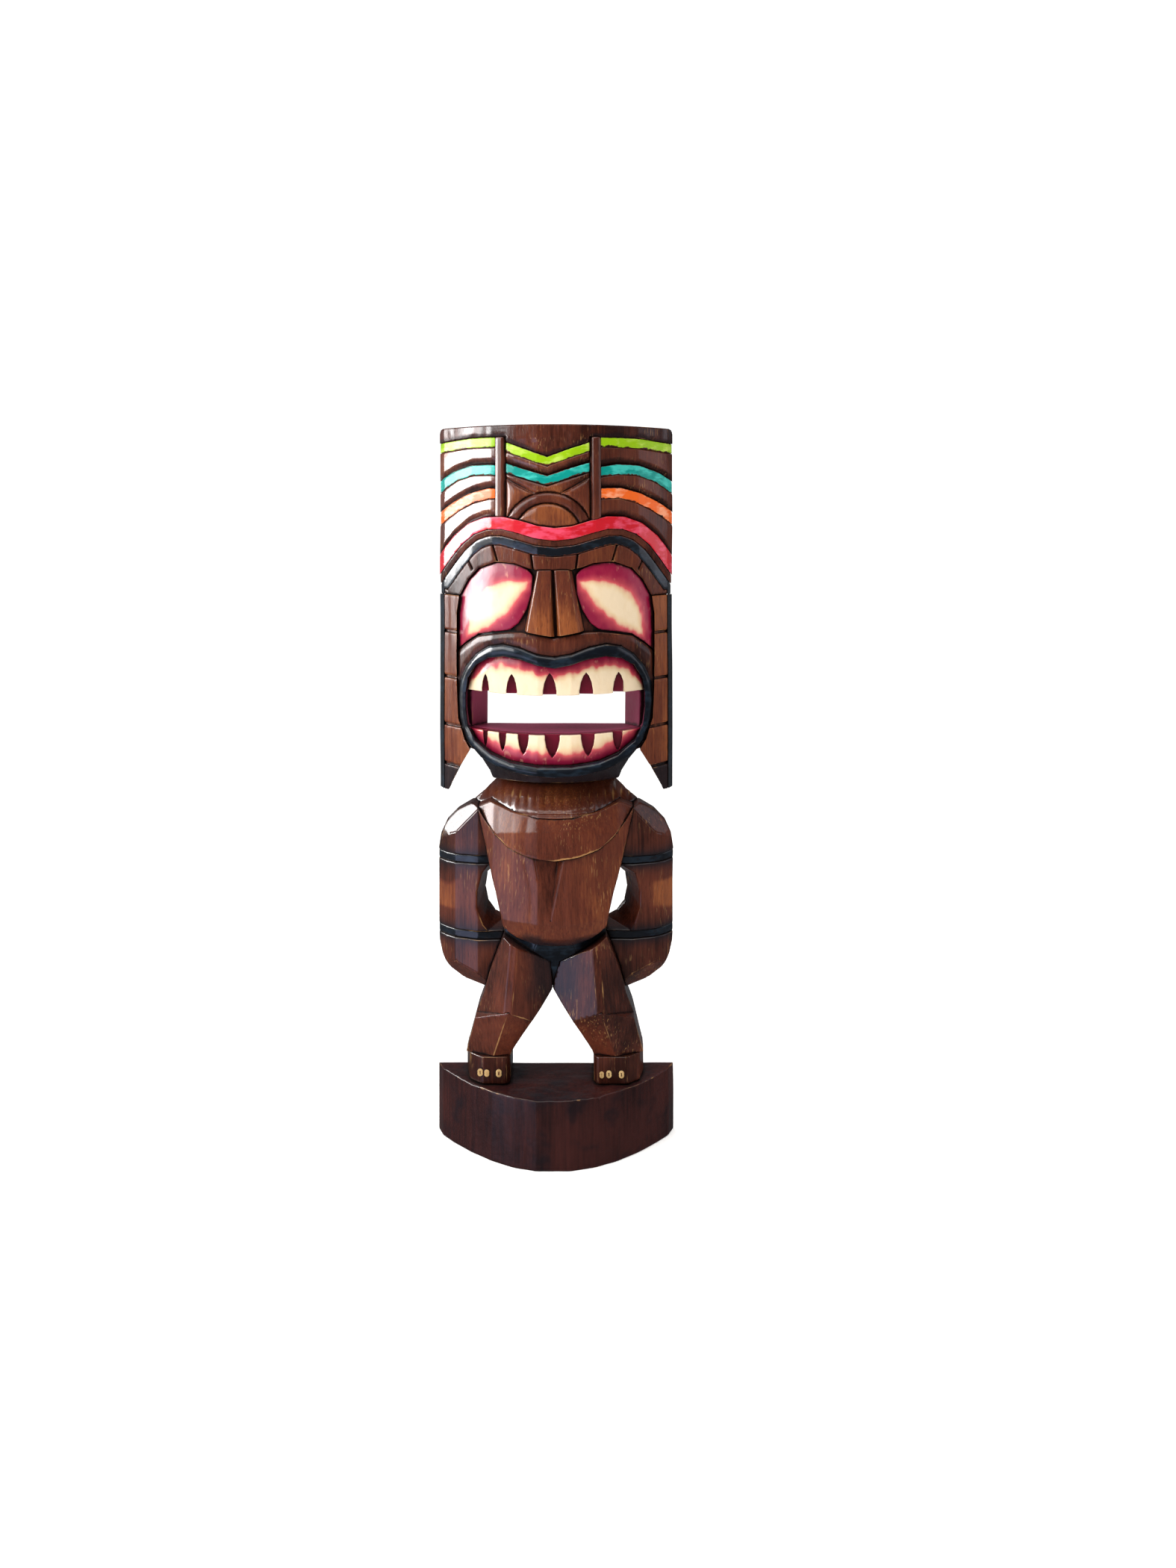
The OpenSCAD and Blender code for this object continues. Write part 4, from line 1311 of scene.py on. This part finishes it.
class TIKI_OT_stage(bpy.types.Operator):
    """Set the floor, the lights and the camera"""
    bl_idname = "tiki.stage"
    bl_label = "Stage"
    bl_options = {"REGISTER", "UNDO"}

    def execute(self, context):
        stage = context.scene.tiki_stage
        self.floor(stage)
        self.room(context, stage)
        self.lamp("window", (-0.78, -0.5, 0.7), (0, -0.05, 0.3), (0.6, 0.6), stage.window, "#ffffff")
        self.lamp("overhead", (0.1, -0.55, 1.3), (0, 0, 0.2), (0.9, 0.7), stage.window * 0.45, "#fffaf4")
        for pane in (
                ("window_pane", (-0.72, 0, 0.45), (0, 0, 0.45), (0.36, 0.44), stage.pane, "#ffffff"),
                ("right_pane", (0.72, 0.05, 0.45), (0, 0, 0.37), (0.3, 0.5), 0.6, "#eef0ff"),
                ("low_pane", (-0.56, -0.5, -0.12), (0, 0, -0.12), (0.6, 0.5), stage.low_pane, "#c0c8f4")):
            self.lamp(*pane).visible_diffuse = False
        self.sun()
        self.camera(context, stage)
        context.scene.view_settings.view_transform = "Standard"
        return {"FINISHED"}

    def floor(self, stage):
        mesh = bpy.data.meshes.new("floor")
        shape = bmesh.new()
        bmesh.ops.create_grid(shape, x_segments=24, y_segments=24, size=6)
        shape.to_mesh(mesh)
        shape.free()
        ground = bpy.data.objects.new("floor", mesh)
        bpy.context.scene.collection.objects.link(ground)
        r = Recipe("pale_floor")
        cloud = r.noise(0.004, detail=2.0)
        base = r.mix(stage.floor, tuple(c * 0.97 for c in stage.floor[:3]) + (1.0,), cloud)
        r.node_end(r.node("ShaderNodeBsdfPrincipled", {}, {
            "Base Color": base, "Roughness": 0.6, "Emission Color": (1, 1, 1, 1), "Emission Strength": 0.2}))
        mesh.materials.append(r.material)
        ground.visible_glossy = False

    def room(self, context, stage):
        world = bpy.data.worlds.new("room")
        context.scene.world = world
        world.use_nodes = True
        tree = world.node_tree
        tree.nodes.clear()
        path = tree.nodes.new("ShaderNodeLightPath")
        below = None
        for ray, tint, strength in (
                (None, (0.97, 0.98, 1, 1), stage.sky),
                ("Is Glossy Ray", (0.9, 0.93, 1, 1), stage.sheen),
                ("Is Camera Ray", (1, 1, 1, 1), 1.2)):
            light = tree.nodes.new("ShaderNodeBackground")
            light.inputs["Color"].default_value = tint
            light.inputs["Strength"].default_value = strength
            above = light.outputs[0]
            if ray:
                blend = tree.nodes.new("ShaderNodeMixShader")
                tree.links.new(path.outputs[ray], blend.inputs[0])
                tree.links.new(below, blend.inputs[1])
                tree.links.new(above, blend.inputs[2])
                above = blend.outputs[0]
            below = above
        end = tree.nodes.new("ShaderNodeOutputWorld")
        tree.links.new(below, end.inputs["Surface"])

    def lamp(self, name, place, aim, area, power, tint):
        data = bpy.data.lights.new(name, "AREA")
        data.shape = "RECTANGLE"
        data.size, data.size_y = area
        data.energy = power
        data.color = linear(tint)[:3]
        thing = bpy.data.objects.new(name, data)
        thing.location = place
        thing.rotation_euler = (Vector(aim) - Vector(place)).to_track_quat("-Z", "Y").to_euler()
        thing.visible_camera = False
        bpy.context.scene.collection.objects.link(thing)
        return thing

    def sun(self):
        data = bpy.data.lights.new("skylight", "SUN")
        data.energy = 2.3
        data.angle = math.radians(70)
        bpy.context.scene.collection.objects.link(bpy.data.objects.new("skylight", data))

    def camera(self, context, stage):
        data = bpy.data.cameras.new("camera")
        data.sensor_fit = "VERTICAL"
        data.sensor_height = 36
        data.lens = stage.lens
        data.shift_y = stage.look_down
        data.clip_start = 0.01
        thing = bpy.data.objects.new("camera", data)
        thing.location = stage.eye
        thing.rotation_euler = (math.radians(90), 0, 0)
        context.scene.collection.objects.link(thing)
        context.scene.camera = thing


# ---------- panel and run ----------

STEPS = (
    TIKI_OT_plinth, TIKI_OT_feet, TIKI_OT_toenails, TIKI_OT_legs, TIKI_OT_hips, TIKI_OT_torso,
    TIKI_OT_neck, TIKI_OT_arms, TIKI_OT_arm_bands, TIKI_OT_head, TIKI_OT_rim, TIKI_OT_courses,
    TIKI_OT_green, TIKI_OT_teal, TIKI_OT_orange, TIKI_OT_posts, TIKI_OT_arch, TIKI_OT_brow,
    TIKI_OT_red_band, TIKI_OT_black_band, TIKI_OT_flaps, TIKI_OT_flap_edges, TIKI_OT_eyes,
    TIKI_OT_nose, TIKI_OT_cheeks, TIKI_OT_lip, TIKI_OT_teeth, TIKI_OT_weather, TIKI_OT_stage,
)


class TIKI_PT_panel(bpy.types.Panel):
    """Sidebar panel with the sizes, the finishes and a button for each piece"""
    bl_idname = "TIKI_PT_panel"
    bl_label = "Carved Tiki"
    bl_space_type = "VIEW_3D"
    bl_region_type = "UI"
    bl_category = "Tiki"

    def draw(self, context):
        for group in (context.scene.tiki_shape, context.scene.tiki_finish, context.scene.tiki_stage):
            box = self.layout.box()
            for key in group.__annotations__:
                box.prop(group, key)
        for step in STEPS:
            self.layout.operator(step.bl_idname)


GROUPS = {"tiki_shape": TikiShape, "tiki_finish": TikiFinish, "tiki_stage": TikiStage}


def register():
    for group in (*GROUPS.values(), *STEPS, TIKI_PT_panel):
        bpy.utils.register_class(group)
    for name, group in GROUPS.items():
        setattr(bpy.types.Scene, name, bpy.props.PointerProperty(type=group))


def unregister():
    for name in GROUPS:
        delattr(bpy.types.Scene, name)
    for group in reversed((*GROUPS.values(), *STEPS, TIKI_PT_panel)):
        bpy.utils.unregister_class(group)


def main():
    register()
    for step in STEPS:
        family, verb = step.bl_idname.split(".")
        getattr(getattr(bpy.ops, family), verb)()


if __name__ == "__main__":
    main()
